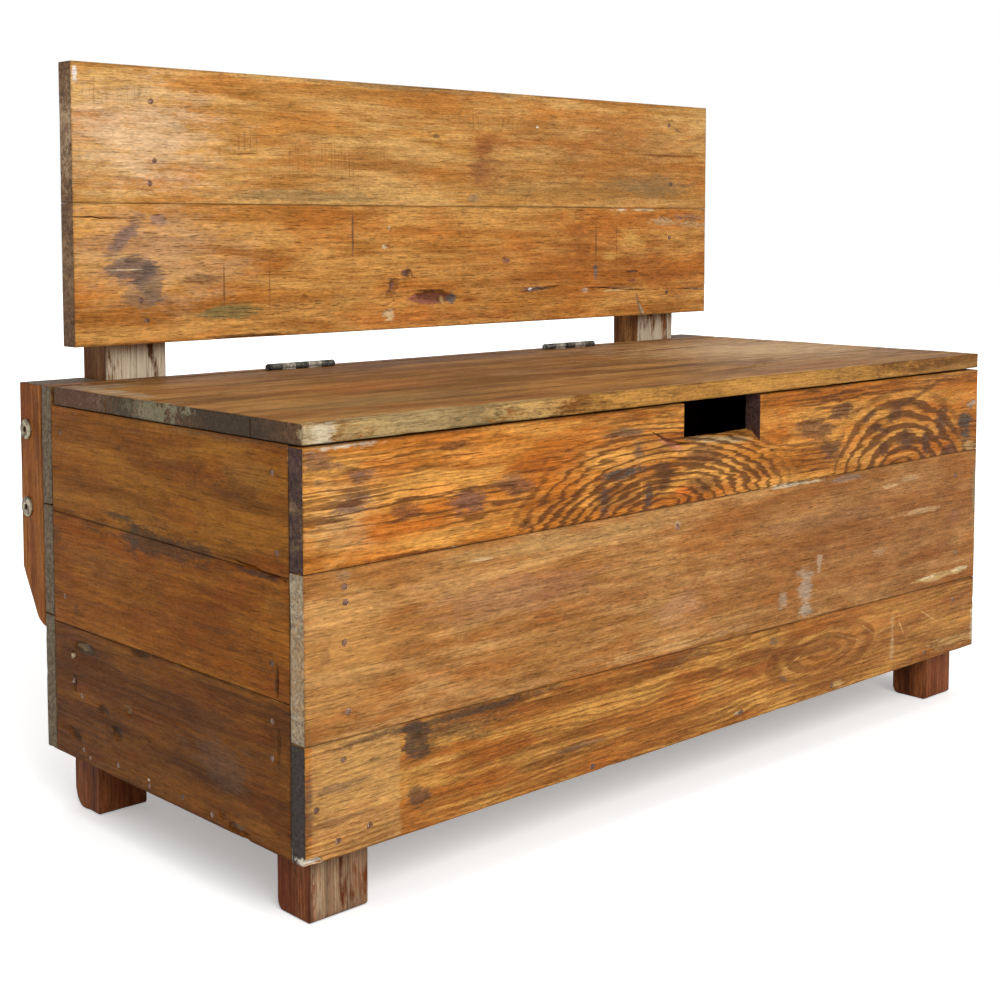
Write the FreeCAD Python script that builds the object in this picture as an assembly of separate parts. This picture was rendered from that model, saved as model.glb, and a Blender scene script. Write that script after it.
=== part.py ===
import FreeCAD, Part
import math
import os

# A storage bench of reclaimed boards, with a hinged lid and a bolted backrest.
# Millimetres. X runs along the bench, Y from front to back, Z up from the floor.
# The origin is the middle of the bench's outline on the floor.

# Box
bench_width = 860.0
box_depth = 358.0
foot_height = 50.0
panel_height = 287.0
panel_board = 16.0
board_gap = 0.4
edge_ease = 1.2

# Board joints of the panels, each measured up from the panel's lower edge
front_low_joint_left = 83.0
front_low_joint_right = 72.0
front_high_joint_left = 201.0
front_high_joint_right = 205.0
side_low_joint = 109.5
side_high_joint_front = 196.0
side_high_joint_rear = 201.0
back_low_joint = 113.0
back_high_joint = 205.0

# Hand notch in the front panel's top edge
notch_width = 103.0
notch_depth = 29.0
notch_off_centre = 15.0
notch_corner = 2.0

# Corner posts, whose lower ends are the feet
post_width = 45.0
wide_post_width = 52.0
post_depth = 40.0
post_round = 2.5
toe_round = 4.0
front_heel_round = 8.0
rear_heel_round = 16.0

# Floor
floor_board = 16.0
floor_board_count = 4
floor_batten_width = 42.0
floor_batten_board = 15.0
fitting_gap = 0.5

# Lid
lid_gap = 1.5
lid_board = 15.0
lid_front_board_width = 60.0
lid_rear_board_width = 82.0
lid_batten_width = 45.0
lid_batten_board = 16.0
batten_ease = 2.0
lid_batten_off_centre = 262.0
lid_batten_front_room = 12.0
lid_batten_rear_room = 30.0

# Butt hinges, with both leaves upright in the gap behind the lid
hinge_off_centre = 178.0
hinge_length = 74.0
hinge_gap = 5.0
hinge_knuckles = 5
knuckle_radius = 3.1
knuckle_gap = 0.3
pin_radius = 1.6
pin_clearance = 0.06
pin_height = 2.5
pin_head_radius = 2.7
pin_head_height = 0.9
leaf_thickness = 1.5
leaf_reach = 15.5
leaf_corner = 2.0
leaf_screw_drop = 9.8
leaf_screw_spacing = 27.0

# Backrest with its posts, and the end blocks that they are bolted to
rest_depth = 38.0
rest_board = 20.0
rest_gap = 30.5
rest_lower_board = 118.6
rest_upper_board = 115.6
rest_left_inset = 21.0
rest_right_inset = 26.5
rest_corner = 4.0
rest_post_width = 60.0
rest_post_top_drop = 14.0
block_width = 60.0
block_fit = 0.3
block_top_round = 5.0
taper_top_drop = 157.5
taper_foot_drop = 197.0
taper_bottom_drop = 203.0
taper_foot_depth = 12.5
taper_round = 5.0

# Connector bolts and their barrel nuts, with thread_sides flats where the threads run
thread_sides = 10
bolt_radius = 3.0
bolt_length = 88.0
bolt_head_radius = 8.4
bolt_head_height = 2.2
bolt_head_edge = 0.8
bolt_tip_room = 1.2
socket_sides = 6
socket_width = 5.0
socket_depth = 5.0
bolt_hole_clearance = 0.4
bolt_setback = 25.5
upper_bolt_drop = 39.0
bolt_spacing = 65.5
nut_radius = 5.0
nut_length = 13.0
nut_clearance = 0.1
nut_thread_clearance = 0.05

# Cut nails that narrow from the head to the point, with their heads just under the wood's face
nail_length = 36.0
nail_head_radius = 2.4
nail_point_radius = 1.2
nail_sink = 0.3
nail_sides = 6
nail_edge_distance = 22.0
batten_nail_length = 27.0
front_floor_nails = 5
floor_nail_end_room = 40.0
floor_nail_side_room = 14.0

# Countersunk wood screws
leaf_screw_radius = 1.4
leaf_screw_head_radius = 2.7
leaf_screw_length = 13.5
leaf_hole_clearance = 0.2
batten_screw_radius = 2.0
batten_screw_head_radius = 4.0
batten_screw_length = 27.0
batten_screw_side_room = 12.0
block_screw_radius = 2.5
block_screw_head_radius = 5.0
block_screw_length = 78.0
block_screw_spacing = 65.0
block_screw_drop = 72.0
screw_point_share = 0.7
screw_sides = 6

# Places that follow from the sizes
left_x = -bench_width / 2
right_x = bench_width / 2
front_y = -(box_depth + rest_depth) / 2
panel_back_y = front_y + box_depth
rest_back_y = panel_back_y + rest_depth
inner_left_x = left_x + panel_board
inner_right_x = right_x - panel_board
inner_front_y = front_y + panel_board
inner_back_y = panel_back_y - panel_board
panel_bottom = foot_height
panel_top = panel_bottom + panel_height
lid_bottom = panel_top + lid_gap
lid_top = lid_bottom + lid_board
lid_back_y = inner_back_y - hinge_gap
axis_y = inner_back_y - hinge_gap / 2
axis_z = lid_top + pin_height
rest_front_y = panel_back_y - rest_board
rest_bottom = lid_top + rest_gap
rest_top = rest_bottom + rest_lower_board + board_gap + rest_upper_board
taper_foot = lid_top - taper_foot_drop
rest_left_x = left_x + rest_left_inset
rest_right_x = right_x - rest_right_inset
bolt_y = panel_back_y + bolt_setback
bolt_heights = (lid_top - upper_bolt_drop, lid_top - upper_bolt_drop - bolt_spacing)
half_gap = board_gap / 2

# Two places closer than this count as one when edges are picked out
near = 0.01

X = FreeCAD.Vector(1, 0, 0)
Y = FreeCAD.Vector(0, 1, 0)
Z = FreeCAD.Vector(0, 0, 1)


def save(name, shape):
    shape.exportStep(os.path.join("parts", name + ".step"))


def prism(corners, way):
    """A closed outline of straight edges, carried along a direction."""
    points = [FreeCAD.Vector(*corner) for corner in corners]
    return Part.Face(Part.makePolygon(points + points[:1])).extrude(way)


def box(low, high):
    sides = [b - a for a, b in zip(low, high)]
    return Part.makeBox(*sides, FreeCAD.Vector(*low))


def edges_along(shape, axis):
    """The edges that run along X, Y or Z, sloping ones among them."""
    return [edge for edge in shape.Edges if getattr(edge.BoundBox, axis + "Length") > near]


def edges_at(edges, axis, place):
    """Those of the edges that lie wholly where X, Y or Z has one value."""
    found = []
    for edge in edges:
        low = getattr(edge.BoundBox, axis + "Min")
        high = getattr(edge.BoundBox, axis + "Max")
        if abs(low - place) < near and abs(high - place) < near:
            found.append(edge)
    return found


def cylinder(radius, length, start, way):
    return Part.makeCylinder(radius, length, FreeCAD.Vector(*start), way)


def ease_long_edges(board, axis):
    """Takes the sharp arris off the edges that run along a board."""
    return board.makeChamfer(edge_ease, edges_along(board, axis))


def turned(profile, start, way):
    """A piece turned on a lathe: profile lists (distance along the axis, radius)."""
    points = [FreeCAD.Vector(radius, 0, along) for along, radius in profile]
    outline = Part.Face(Part.makePolygon(points + points[:1]))
    solid = outline.revolve(FreeCAD.Vector(0, 0, 0), Z, 360)
    solid.Placement = FreeCAD.Placement(FreeCAD.Vector(*start), FreeCAD.Rotation(Z, way))
    return solid


def ring(radius, sides, height):
    """The corners of a regular outline about the Z axis."""
    turn = 2 * math.pi / sides
    return [
        FreeCAD.Vector(radius * math.cos(turn * side), radius * math.sin(turn * side), height)
        for side in range(sides)
    ]


def flat_face(corners):
    return Part.Face(Part.makePolygon(corners + corners[:1]))


def flat_sided_bar(first_radius, last_radius, sides, length, start, way):
    """A bar of flat sides, which may narrow along its length."""
    first = ring(first_radius, sides, 0)
    last = ring(last_radius, sides, length)
    faces = [flat_face(first), flat_face(last)]
    for here in range(sides):
        after = (here + 1) % sides
        faces.append(flat_face([first[here], first[after], last[after], last[here]]))
    bar = Part.Solid(Part.Shell(faces))
    bar.Placement = FreeCAD.Placement(FreeCAD.Vector(*start), FreeCAD.Rotation(Z, way))
    return bar


def upright_board(bottoms, tops, y):
    """A board on edge along X. bottoms and tops give its edges' heights at the left and right ends."""
    corners = [
        (left_x, y, bottoms[0]),
        (right_x, y, bottoms[1]),
        (right_x, y, tops[1]),
        (left_x, y, tops[0]),
    ]
    return ease_long_edges(prism(corners, Y * panel_board), "X")


def cross_board(x, bottoms, tops):
    """A side panel's board, along Y between the front and back panels."""
    corners = [
        (x, inner_front_y, bottoms[0]),
        (x, inner_back_y, bottoms[1]),
        (x, inner_back_y, tops[1]),
        (x, inner_front_y, tops[0]),
    ]
    return ease_long_edges(prism(corners, X * panel_board), "Y")


def above_bottom(heights):
    return [panel_bottom + height for height in heights]


def shifted(heights, step):
    return [height + step for height in heights]


def front_boards():
    low = above_bottom((front_low_joint_left, front_low_joint_right))
    high = above_bottom((front_high_joint_left, front_high_joint_right))
    bottom = upright_board((panel_bottom, panel_bottom), shifted(low, -half_gap), front_y)
    middle = upright_board(shifted(low, half_gap), shifted(high, -half_gap), front_y)
    top = upright_board(shifted(high, half_gap), (panel_top, panel_top), front_y)
    return {"bottom": bottom, "middle": middle, "top": top.cut(hand_notch())}


def hand_notch():
    """The cutter for the hand notch: open at the top, with its lower corners a little rounded."""
    left = notch_off_centre - notch_width / 2
    low = (left, front_y - panel_board, panel_top - notch_depth)
    high = (left + notch_width, front_y + 2 * panel_board, panel_top + lid_gap)
    cutter = box(low, high)
    return cutter.makeFillet(notch_corner, edges_at(edges_along(cutter, "Y"), "Z", low[2]))


def back_boards():
    low = panel_bottom + back_low_joint
    high = panel_bottom + back_high_joint
    edges = {
        "bottom": (panel_bottom, low - half_gap),
        "middle": (low + half_gap, high - half_gap),
        "top": (high + half_gap, lid_top),
    }
    return {
        name: upright_board((bottom, bottom), (top, top), inner_back_y)
        for name, (bottom, top) in edges.items()
    }


def side_boards(x):
    low = above_bottom((side_low_joint, side_low_joint))
    high = above_bottom((side_high_joint_front, side_high_joint_rear))
    return {
        "bottom": cross_board(x, (panel_bottom, panel_bottom), shifted(low, -half_gap)),
        "middle": cross_board(x, shifted(low, half_gap), shifted(high, -half_gap)),
        "top": cross_board(x, shifted(high, half_gap), (panel_top, panel_top)),
    }


def post_outline(front, back, toe, heel):
    """A corner post seen from the side, with its foot rounded at the toe and the heel."""
    bend = math.sqrt(0.5)

    def arc(start, middle, end):
        return Part.Arc(*[FreeCAD.Vector(0, *point) for point in (start, middle, end)]).toShape()

    def line(start, end):
        return Part.makeLine(FreeCAD.Vector(0, *start), FreeCAD.Vector(0, *end))

    toe_middle = (front + toe * (1 - bend), toe * (1 - bend))
    heel_middle = (back - heel * (1 - bend), heel * (1 - bend))
    edges = [
        line((front, lid_bottom), (front, toe)),
        arc((front, toe), toe_middle, (front + toe, 0)),
        line((front + toe, 0), (back - heel, 0)),
        arc((back - heel, 0), heel_middle, (back, heel)),
        line((back, heel), (back, lid_bottom)),
        line((back, lid_bottom), (front, lid_bottom)),
    ]
    return Part.Face(Part.Wire(edges))


def corner_post(left, width, front, heel):
    """A post from the floor to the lid's underside: its side outline met by a round-cornered bar."""
    outline = post_outline(front, front + post_depth, toe_round, heel).extrude(X * width)
    outline.translate(X * left)
    bar = box((left, front, 0), (left + width, front + post_depth, lid_bottom))
    return outline.common(bar.makeFillet(post_round, edges_along(bar, "Z")))


def corner_posts():
    right = inner_right_x - post_width
    rear = inner_back_y - post_depth
    return {
        "front_left": corner_post(inner_left_x, wide_post_width, inner_front_y, front_heel_round),
        "front_right": corner_post(right, post_width, inner_front_y, front_heel_round),
        "rear_left": corner_post(inner_left_x, post_width, rear, rear_heel_round),
        "rear_right": corner_post(right, post_width, rear, rear_heel_round),
    }


def post_footprint(post):
    """The hole that a floor board needs round a corner post, from the post's own outline."""
    room = post.BoundBox
    low = (room.XMin - fitting_gap, room.YMin - fitting_gap, panel_bottom - floor_board)
    high = (room.XMax + fitting_gap, room.YMax + fitting_gap, panel_bottom + 2 * floor_board)
    return box(low, high)


def floor_rows():
    """Front and back edge of each floor board."""
    width = (inner_back_y - inner_front_y - board_gap * (floor_board_count - 1)) / floor_board_count
    starts = [inner_front_y + row * (width + board_gap) for row in range(floor_board_count)]
    return [(start, start + width) for start in starts]


def floor_boards(posts):
    boards = []
    for front, back in floor_rows():
        low = (inner_left_x, front, panel_bottom)
        high = (inner_right_x, back, panel_bottom + floor_board)
        board = ease_long_edges(box(low, high), "X")
        for post in posts.values():
            board = board.cut(post_footprint(post))
        boards.append(board)
    return boards


def floor_batten():
    low = (-floor_batten_width / 2, inner_front_y + post_depth, panel_bottom - floor_batten_board)
    high = (floor_batten_width / 2, inner_back_y - post_depth, panel_bottom)
    return ease_long_edges(box(low, high), "Y")


def lid_rows():
    """Front and back edge of each lid board."""
    front_joint = front_y + lid_front_board_width
    rear_joint = lid_back_y - lid_rear_board_width
    return {
        "front": (front_y, front_joint - half_gap),
        "middle": (front_joint + half_gap, rear_joint - half_gap),
        "rear": (rear_joint + half_gap, lid_back_y),
    }


def lid_boards():
    return {
        name: ease_long_edges(box((left_x, front, lid_bottom), (right_x, back, lid_top)), "X")
        for name, (front, back) in lid_rows().items()
    }


def batten_span():
    return inner_front_y + lid_batten_front_room, lid_back_y - lid_batten_rear_room


def lid_batten(centre):
    front, back = batten_span()
    low = (centre - lid_batten_width / 2, front, lid_bottom - lid_batten_board)
    high = (centre + lid_batten_width / 2, back, lid_bottom)
    batten = box(low, high)
    return batten.makeChamfer(batten_ease, edges_at(batten.Edges, "Z", low[2]))


def rest_outline(top):
    """The end block and the backrest post seen from the side, with the taper at the lower end."""
    return [
        (0, panel_back_y, lid_top - taper_bottom_drop),
        (0, panel_back_y + taper_foot_depth, taper_foot),
        (0, rest_back_y, lid_top - taper_top_drop),
        (0, rest_back_y, top),
        (0, panel_back_y, top),
    ]


def tapered_upright(start_x, width, top):
    upright = prism(rest_outline(top), X * width)
    upright.translate(X * start_x)
    rear_top = edges_at(edges_at(edges_along(upright, "X"), "Z", top), "Y", rest_back_y)
    upright = upright.makeFillet(block_top_round, rear_top)
    return upright.makeFillet(taper_round, edges_at(edges_along(upright, "X"), "Z", taper_foot))


def outer_x(side):
    return side * bench_width / 2


def bolt_cutters(side):
    """Clearance holes for one end's bolts, through the block and on to the barrel nuts."""
    depth = abs(outer_x(side) - nut_x(side))
    return [
        cylinder(bolt_radius + bolt_hole_clearance, depth, (outer_x(side), bolt_y, height), X * -side)
        for height in bolt_heights
    ]


def nut_x(side):
    """Where the barrel nuts stand, so that the bolt's tip ends just inside them."""
    return outer_x(side) - side * (bolt_length - nut_radius + bolt_tip_room)


def nut_cutters(side):
    depth = rest_back_y - bolt_y + nut_length / 2 + nut_clearance
    return [
        cylinder(nut_radius + nut_clearance, depth, (nut_x(side), rest_back_y, height), Y * -1)
        for height in bolt_heights
    ]


def end_block(side):
    start = outer_x(side) if side < 0 else outer_x(side) - block_width
    block = tapered_upright(start, block_width, lid_top)
    for cutter in bolt_cutters(side):
        block = block.cut(cutter)
    return block


def rest_post_start(side):
    """The post's face beside the block, a little clear of it so that it can be lifted out."""
    return outer_x(side) - side * (block_width + block_fit)


def backrest_post(side):
    start = rest_post_start(side) if side < 0 else rest_post_start(side) - rest_post_width
    post = tapered_upright(start, rest_post_width, rest_top - rest_post_top_drop)
    for cutter in bolt_cutters(side) + nut_cutters(side):
        post = post.cut(cutter)
    return post


def backrest_board(bottom, top, rounded_height):
    """One board of the backrest. Its two corners at rounded_height are worn round."""
    board = box((rest_left_x, rest_front_y, bottom), (rest_right_x, panel_back_y, top))
    return board.makeFillet(rest_corner, edges_at(edges_along(board, "Y"), "Z", rounded_height))


def connector_bolt(side, height):
    """A flat-headed bolt with a hexagon socket, from the block's outer face inwards."""
    seat = (outer_x(side), bolt_y, height)
    profile = [
        (-bolt_head_height, 0),
        (-bolt_head_height, bolt_head_radius - bolt_head_edge),
        (bolt_head_edge - bolt_head_height, bolt_head_radius),
        (0, bolt_head_radius),
        (0, 0),
    ]
    head = turned(profile, seat, X * -side)
    bolt = head.fuse(flat_sided_bar(bolt_radius, bolt_radius, thread_sides, bolt_length, seat, X * -side))
    corner = socket_width / math.sqrt(3)
    face = (outer_x(side) + side * bolt_head_height, bolt_y, height)
    return bolt.cut(flat_sided_bar(corner, corner, socket_sides, socket_depth, face, X * -side))


def barrel_nut(side, height):
    """A round nut that lies across the bolt, low enough in the post to reach from behind."""
    nut = cylinder(nut_radius, nut_length, (nut_x(side), bolt_y + nut_length / 2, height), Y * -1)
    start = (nut_x(side) - nut_radius, bolt_y, height)
    thread = bolt_radius + nut_thread_clearance
    return nut.cut(flat_sided_bar(thread, thread, thread_sides, 2 * nut_radius, start, X))


def wood_screw(radius, head_radius, length, start, way):
    """A countersunk screw whose head is flush with the face that it starts from."""
    head_height = head_radius - radius
    head = flat_sided_bar(head_radius, radius, screw_sides, head_height, start, way)
    neck = FreeCAD.Vector(*start) + way * head_height
    point = radius * screw_point_share
    return head.fuse(flat_sided_bar(radius, point, screw_sides, length - head_height, neck, way))


def nail(start, way, length=nail_length):
    """A cut nail, driven from a point on the wood's face until its head is just under it."""
    top = FreeCAD.Vector(*start) + way * nail_sink
    return flat_sided_bar(nail_head_radius, nail_point_radius, nail_sides, length - nail_sink, top, way)


def nail_heights(edges):
    """Two nails to a board, each a set distance in from its edges, for (bottom, top) of each board."""
    heights = []
    for bottom, top in edges:
        heights += [bottom + nail_edge_distance, top - nail_edge_distance]
    return heights


def panel_edges(joints, top):
    stops = [panel_bottom] + above_bottom(joints) + [top]
    return list(zip(stops, stops[1:]))


def post_centres_x():
    """Centre lines of the front and rear corner posts, left and right."""
    front = (inner_left_x + wide_post_width / 2, inner_right_x - post_width / 2)
    rear = (inner_left_x + post_width / 2, inner_right_x - post_width / 2)
    return front, rear


def front_nails():
    left_edges = panel_edges((front_low_joint_left, front_high_joint_left), panel_top)
    right_edges = panel_edges((front_low_joint_right, front_high_joint_right), panel_top)
    (left, right), _ = post_centres_x()
    nails = [nail((left, front_y, height), Y) for height in nail_heights(left_edges)]
    return nails + [nail((right, front_y, height), Y) for height in nail_heights(right_edges)]


def back_nails():
    """The upper ones lie under the end blocks, which go on after the panel is nailed."""
    edges = panel_edges((back_low_joint, back_high_joint), panel_top)
    _, centres = post_centres_x()
    heights = nail_heights(edges)
    return [nail((centre, panel_back_y, height), Y * -1) for centre in centres for height in heights]


def side_nails(side):
    front_edges = panel_edges((side_low_joint, side_high_joint_front), panel_top)
    rear_edges = panel_edges((side_low_joint, side_high_joint_rear), panel_top)
    front = inner_front_y + post_depth / 2
    rear = inner_back_y - post_depth / 2
    nails = [nail((outer_x(side), front, height), X * -side) for height in nail_heights(front_edges)]
    return nails + [nail((outer_x(side), rear, height), X * -side) for height in nail_heights(rear_edges)]


def floor_nails():
    """Two nails into each end of a floor board, clear of the posts, and a row along front and back."""
    height = panel_bottom + floor_board / 2
    first = inner_front_y + post_depth
    last = inner_back_y - post_depth
    nails = []
    for front, back in floor_rows():
        for y in (max(front, first) + floor_nail_side_room, min(back, last) - floor_nail_side_room):
            for side in (-1, 1):
                nails.append(nail((outer_x(side), y, height), X * -side))
    reach = inner_right_x - wide_post_width - floor_nail_end_room
    step = 2 * reach / (front_floor_nails - 1)
    for place in range(front_floor_nails):
        x = -reach + place * step
        nails.append(nail((x, front_y, height), Y))
        nails.append(nail((x, panel_back_y, height), Y * -1))
    return nails


def floor_batten_nails():
    first = inner_front_y + post_depth
    last = inner_back_y - post_depth
    nails = []
    for front, back in floor_rows():
        middle = (max(front, first) + min(back, last)) / 2
        nails.append(nail((0, middle, panel_bottom - floor_batten_board), Z, batten_nail_length))
    return nails


def backrest_nails():
    """Two nails through each backrest board into each post."""
    joint = rest_bottom + rest_lower_board
    heights = nail_heights([(rest_bottom, joint), (joint, rest_top)])
    nails = []
    for side in (-1, 1):
        middle = rest_post_start(side) - side * rest_post_width / 2
        nails += [nail((middle, rest_front_y, height), Y) for height in heights]
    return nails


def block_screws():
    """Long screws from behind, through the block and the back panel into the corner post."""
    screws = []
    for side in (-1, 1):
        x = outer_x(side) - side * block_width / 2
        for row in range(2):
            z = lid_top - block_screw_drop - row * block_screw_spacing
            start = (x, rest_back_y, z)
            screws.append(
                wood_screw(block_screw_radius, block_screw_head_radius, block_screw_length, start, Y * -1)
            )
    return screws


def lid_batten_screws():
    """Screws up through the battens: one into each narrow lid board, two into the wide one."""
    rows = lid_rows()
    front, back = batten_span()
    room = batten_screw_side_room
    places = [
        (front + rows["front"][1]) / 2,
        rows["middle"][0] + room,
        rows["middle"][1] - room,
        (rows["rear"][0] + back) / 2,
    ]
    return [
        wood_screw(
            batten_screw_radius,
            batten_screw_head_radius,
            batten_screw_length,
            (centre, y, lid_bottom - lid_batten_board),
            Z,
        )
        for centre in (-lid_batten_off_centre, lid_batten_off_centre)
        for y in places
    ]


def screw_places():
    return [place * leaf_screw_spacing for place in (-1, 0, 1)]


def hinge_leaf(centre, side):
    """A hinge leaf with its knuckles. side is -1 for the lid's leaf and 1 for the back panel's."""
    inner = hinge_gap / 2 - leaf_thickness
    near, far = sorted((side * inner, side * hinge_gap / 2))
    half = hinge_length / 2
    plate = box((-half, near, -leaf_reach), (half, far, 0))
    leaf = plate.makeFillet(leaf_corner, edges_at(edges_along(plate, "Y"), "Z", -leaf_reach))
    pitch = hinge_length / hinge_knuckles
    for knuckle in range(hinge_knuckles):
        start = -half + knuckle * pitch
        if (knuckle % 2 == 0) == (side > 0):
            barrel = cylinder(knuckle_radius, pitch - knuckle_gap, (start + knuckle_gap / 2, 0, 0), X)
            leaf = leaf.fuse(barrel)
        else:
            low = (start - knuckle_gap / 2, -hinge_gap, -knuckle_radius - knuckle_gap)
            high = (start + pitch + knuckle_gap / 2, hinge_gap, knuckle_radius)
            leaf = leaf.cut(box(low, high))
    leaf = leaf.cut(cylinder(pin_radius + pin_clearance, hinge_length, (-half, 0, 0), X))
    for place in screw_places():
        leaf = leaf.cut(leaf_screw(place, side, leaf_hole_clearance))
    leaf.translate(FreeCAD.Vector(centre, axis_y, axis_z))
    return leaf.removeSplitter()


def leaf_screw(place, side, grown=0.0):
    """A hinge screw about the hinge's own centre, or with grown the hole that takes it."""
    start = (place, side * (hinge_gap / 2 - leaf_thickness), -leaf_screw_drop)
    return wood_screw(
        leaf_screw_radius + grown, leaf_screw_head_radius + grown, leaf_screw_length, start, Y * side
    )


def hinge_screws(side):
    screws = []
    for centre in (-hinge_off_centre, hinge_off_centre):
        for place in screw_places():
            screw = leaf_screw(place, side)
            screw.translate(FreeCAD.Vector(centre, axis_y, axis_z))
            screws.append(screw)
    return screws


def hinge_pin(centre):
    """The pin, with a button at each end just clear of the knuckles."""
    half = hinge_length / 2
    profile = [
        (-half - pin_head_height, 0),
        (-half - pin_head_height, pin_head_radius),
        (-half, pin_head_radius),
        (-half, pin_radius),
        (half, pin_radius),
        (half, pin_head_radius),
        (half + pin_head_height, pin_head_radius),
        (half + pin_head_height, 0),
    ]
    return turned(profile, (centre, axis_y, axis_z), X)


def build():
    os.makedirs("parts", exist_ok=True)
    for name, board in front_boards().items():
        save("front_board_" + name, board)
    for name, board in back_boards().items():
        save("back_board_" + name, board)
    for name, board in side_boards(left_x).items():
        save("left_side_board_" + name, board)
    for name, board in side_boards(inner_right_x).items():
        save("right_side_board_" + name, board)
    posts = corner_posts()
    for name, post in posts.items():
        save("corner_post_" + name, post)
    for row, board in enumerate(floor_boards(posts), 1):
        save("floor_board_" + str(row), board)
    save("floor_batten", floor_batten())
    for name, board in lid_boards().items():
        save("lid_board_" + name, board)
    for name, side in (("left", -1), ("right", 1)):
        save("lid_batten_" + name, lid_batten(side * lid_batten_off_centre))
        save("hinge_lid_leaf_" + name, hinge_leaf(side * hinge_off_centre, -1))
        save("hinge_back_leaf_" + name, hinge_leaf(side * hinge_off_centre, 1))
        save("hinge_pin_" + name, hinge_pin(side * hinge_off_centre))
        save("end_block_" + name, end_block(side))
        save("backrest_post_" + name, backrest_post(side))
        save(name + "_side_nails", Part.makeCompound(side_nails(side)))
    joint = rest_bottom + rest_lower_board
    save("backrest_board_lower", backrest_board(rest_bottom, joint, rest_bottom))
    save("backrest_board_upper", backrest_board(joint + board_gap, rest_top, rest_top))
    ends = [(side, height) for side in (-1, 1) for height in bolt_heights]
    save("connector_bolts", Part.makeCompound([connector_bolt(*end) for end in ends]))
    save("barrel_nuts", Part.makeCompound([barrel_nut(*end) for end in ends]))
    save("hinge_lid_screws", Part.makeCompound(hinge_screws(-1)))
    save("hinge_back_screws", Part.makeCompound(hinge_screws(1)))
    save("lid_batten_screws", Part.makeCompound(lid_batten_screws()))
    save("block_screws", Part.makeCompound(block_screws()))
    save("front_nails", Part.makeCompound(front_nails()))
    save("back_nails", Part.makeCompound(back_nails()))
    save("floor_nails", Part.makeCompound(floor_nails()))
    save("floor_batten_nails", Part.makeCompound(floor_batten_nails()))
    save("backrest_nails", Part.makeCompound(backrest_nails()))


build()
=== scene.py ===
import itertools
import math

import bmesh
import bpy
import numpy as np
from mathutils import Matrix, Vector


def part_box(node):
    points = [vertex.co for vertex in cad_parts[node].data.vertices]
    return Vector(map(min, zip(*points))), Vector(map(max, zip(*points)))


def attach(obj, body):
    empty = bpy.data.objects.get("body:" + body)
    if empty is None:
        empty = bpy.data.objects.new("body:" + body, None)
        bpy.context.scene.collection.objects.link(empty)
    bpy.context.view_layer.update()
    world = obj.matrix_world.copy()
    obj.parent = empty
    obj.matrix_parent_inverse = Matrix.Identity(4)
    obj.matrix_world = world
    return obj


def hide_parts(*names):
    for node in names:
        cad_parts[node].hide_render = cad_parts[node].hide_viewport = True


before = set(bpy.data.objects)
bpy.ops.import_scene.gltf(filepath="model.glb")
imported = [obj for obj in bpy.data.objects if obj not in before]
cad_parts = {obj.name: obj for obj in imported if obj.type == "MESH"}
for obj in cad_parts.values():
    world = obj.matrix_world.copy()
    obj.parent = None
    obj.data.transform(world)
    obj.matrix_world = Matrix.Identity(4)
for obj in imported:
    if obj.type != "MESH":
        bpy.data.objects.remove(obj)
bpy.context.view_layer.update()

# A storage bench of reclaimed boards, stained and waxed, with a hinged lid and a backrest.
# The scene is in metres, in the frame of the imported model. Boards and marks are in millimetres.
MM = 0.001

# Camera at the photograph's viewing angle
camera_place = (-1.0744, -1.0638, 0.4870)
camera_azimuth = -43.07
camera_elevation = 4.16
camera_lens = 58.5
camera_sensor = 36.0
camera_shift = (0.0168, -0.1593)

# Light
key_place = (-0.9, -2.2, 1.6)
key_size = 1.8
key_power = 58.0
top_place = (0.1, 0.4, 2.8)
top_size = 2.4
top_power = 22.0
surround_strength = 0.55

# Floor: its half width, its grey for the light that it throws back and where it is seen, and a glow
# that grows with the distance from the bench, in metres
floor_half = 9.0
floor_grey = 0.55
floor_grey_seen = 0.95
floor_glow = (0.3, 1.0)
floor_glow_reach = (0.7, 1.6)

# Heights of board joints above the panels' lower edge, at the left and right or front and rear ends
front_low_joint = (83.0, 72.0)
front_high_joint = (201.0, 205.0)
side_high_joint = (196.0, 201.0)

# The side boards stop this far under the lid
side_clearance = 0.4

# Hand notch: its sides, its lower lip at the left, the right and the back, and the split beside it
notch_left = -36.5
notch_right = 66.5
lip_left = 304.6
lip_right = 296.0
lip_back = 305.5
notch_split = [(-77, 317), (-68, 313), (-57, 307.5), (-44, 304.5), (-30, 303.5)]

# Cracks: first and last point, number of steps, sway, width and depth
side_crack = ((-186, 243), (-106, 250.5), 9, 1.6, 3.2, 3.0)
lid_crack = ((38, -148), (262, -111), 22, 2.2, 2.4, 6.0)
rest_cracks = (
    ((197, 417.5), (306, 411.5), 12, 1.2, 2.2, 2.6),
    ((-416, 491.5), (-352, 490.5), 8, 0.8, 1.4, 3.0),
    ((358, 412), (410, 409), 6, 0.6, 1.4, 2.0),
    ((102, 415), (162, 420), 7, 0.8, 3.4, 2.0),
)

# Feet
toe_round = 4.0
front_heel_round = 8.0
rear_heel_round = 16.0

# Taper at the lower end of the end blocks and the backrest posts: height and depth of its corners
taper_corners = ((150.5, 0.6), (156.5, 12.5), (196.0, 38.0))

# How boards are divided and how far their faces and arrises have worn
arris_steps = (0.0, 0.5, 1.1, 1.9, 3.0, 4.6, 7.0)
cell_along = 8.0
cell_across = 7.0
arris_round = 0.7
arris_chip = 3.0
face_wave = 0.3
edge_reach = 6.0
rest_edge_wear = 0.35
post_arris = 1.4
post_chip = 2.4
upright_arris = 1.8

# Hollows: corners of their outline and how ragged it is. The split beside the notch: width and depth
gouge_corners = 14
dent_corners = 12
hollow_raggedness = 0.16
notch_split_size = (3.4, 3.2)
smooth_angle = math.radians(38)

# A cut that leaves less than this share of a board has gone wrong
kept_share = 0.9

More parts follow.
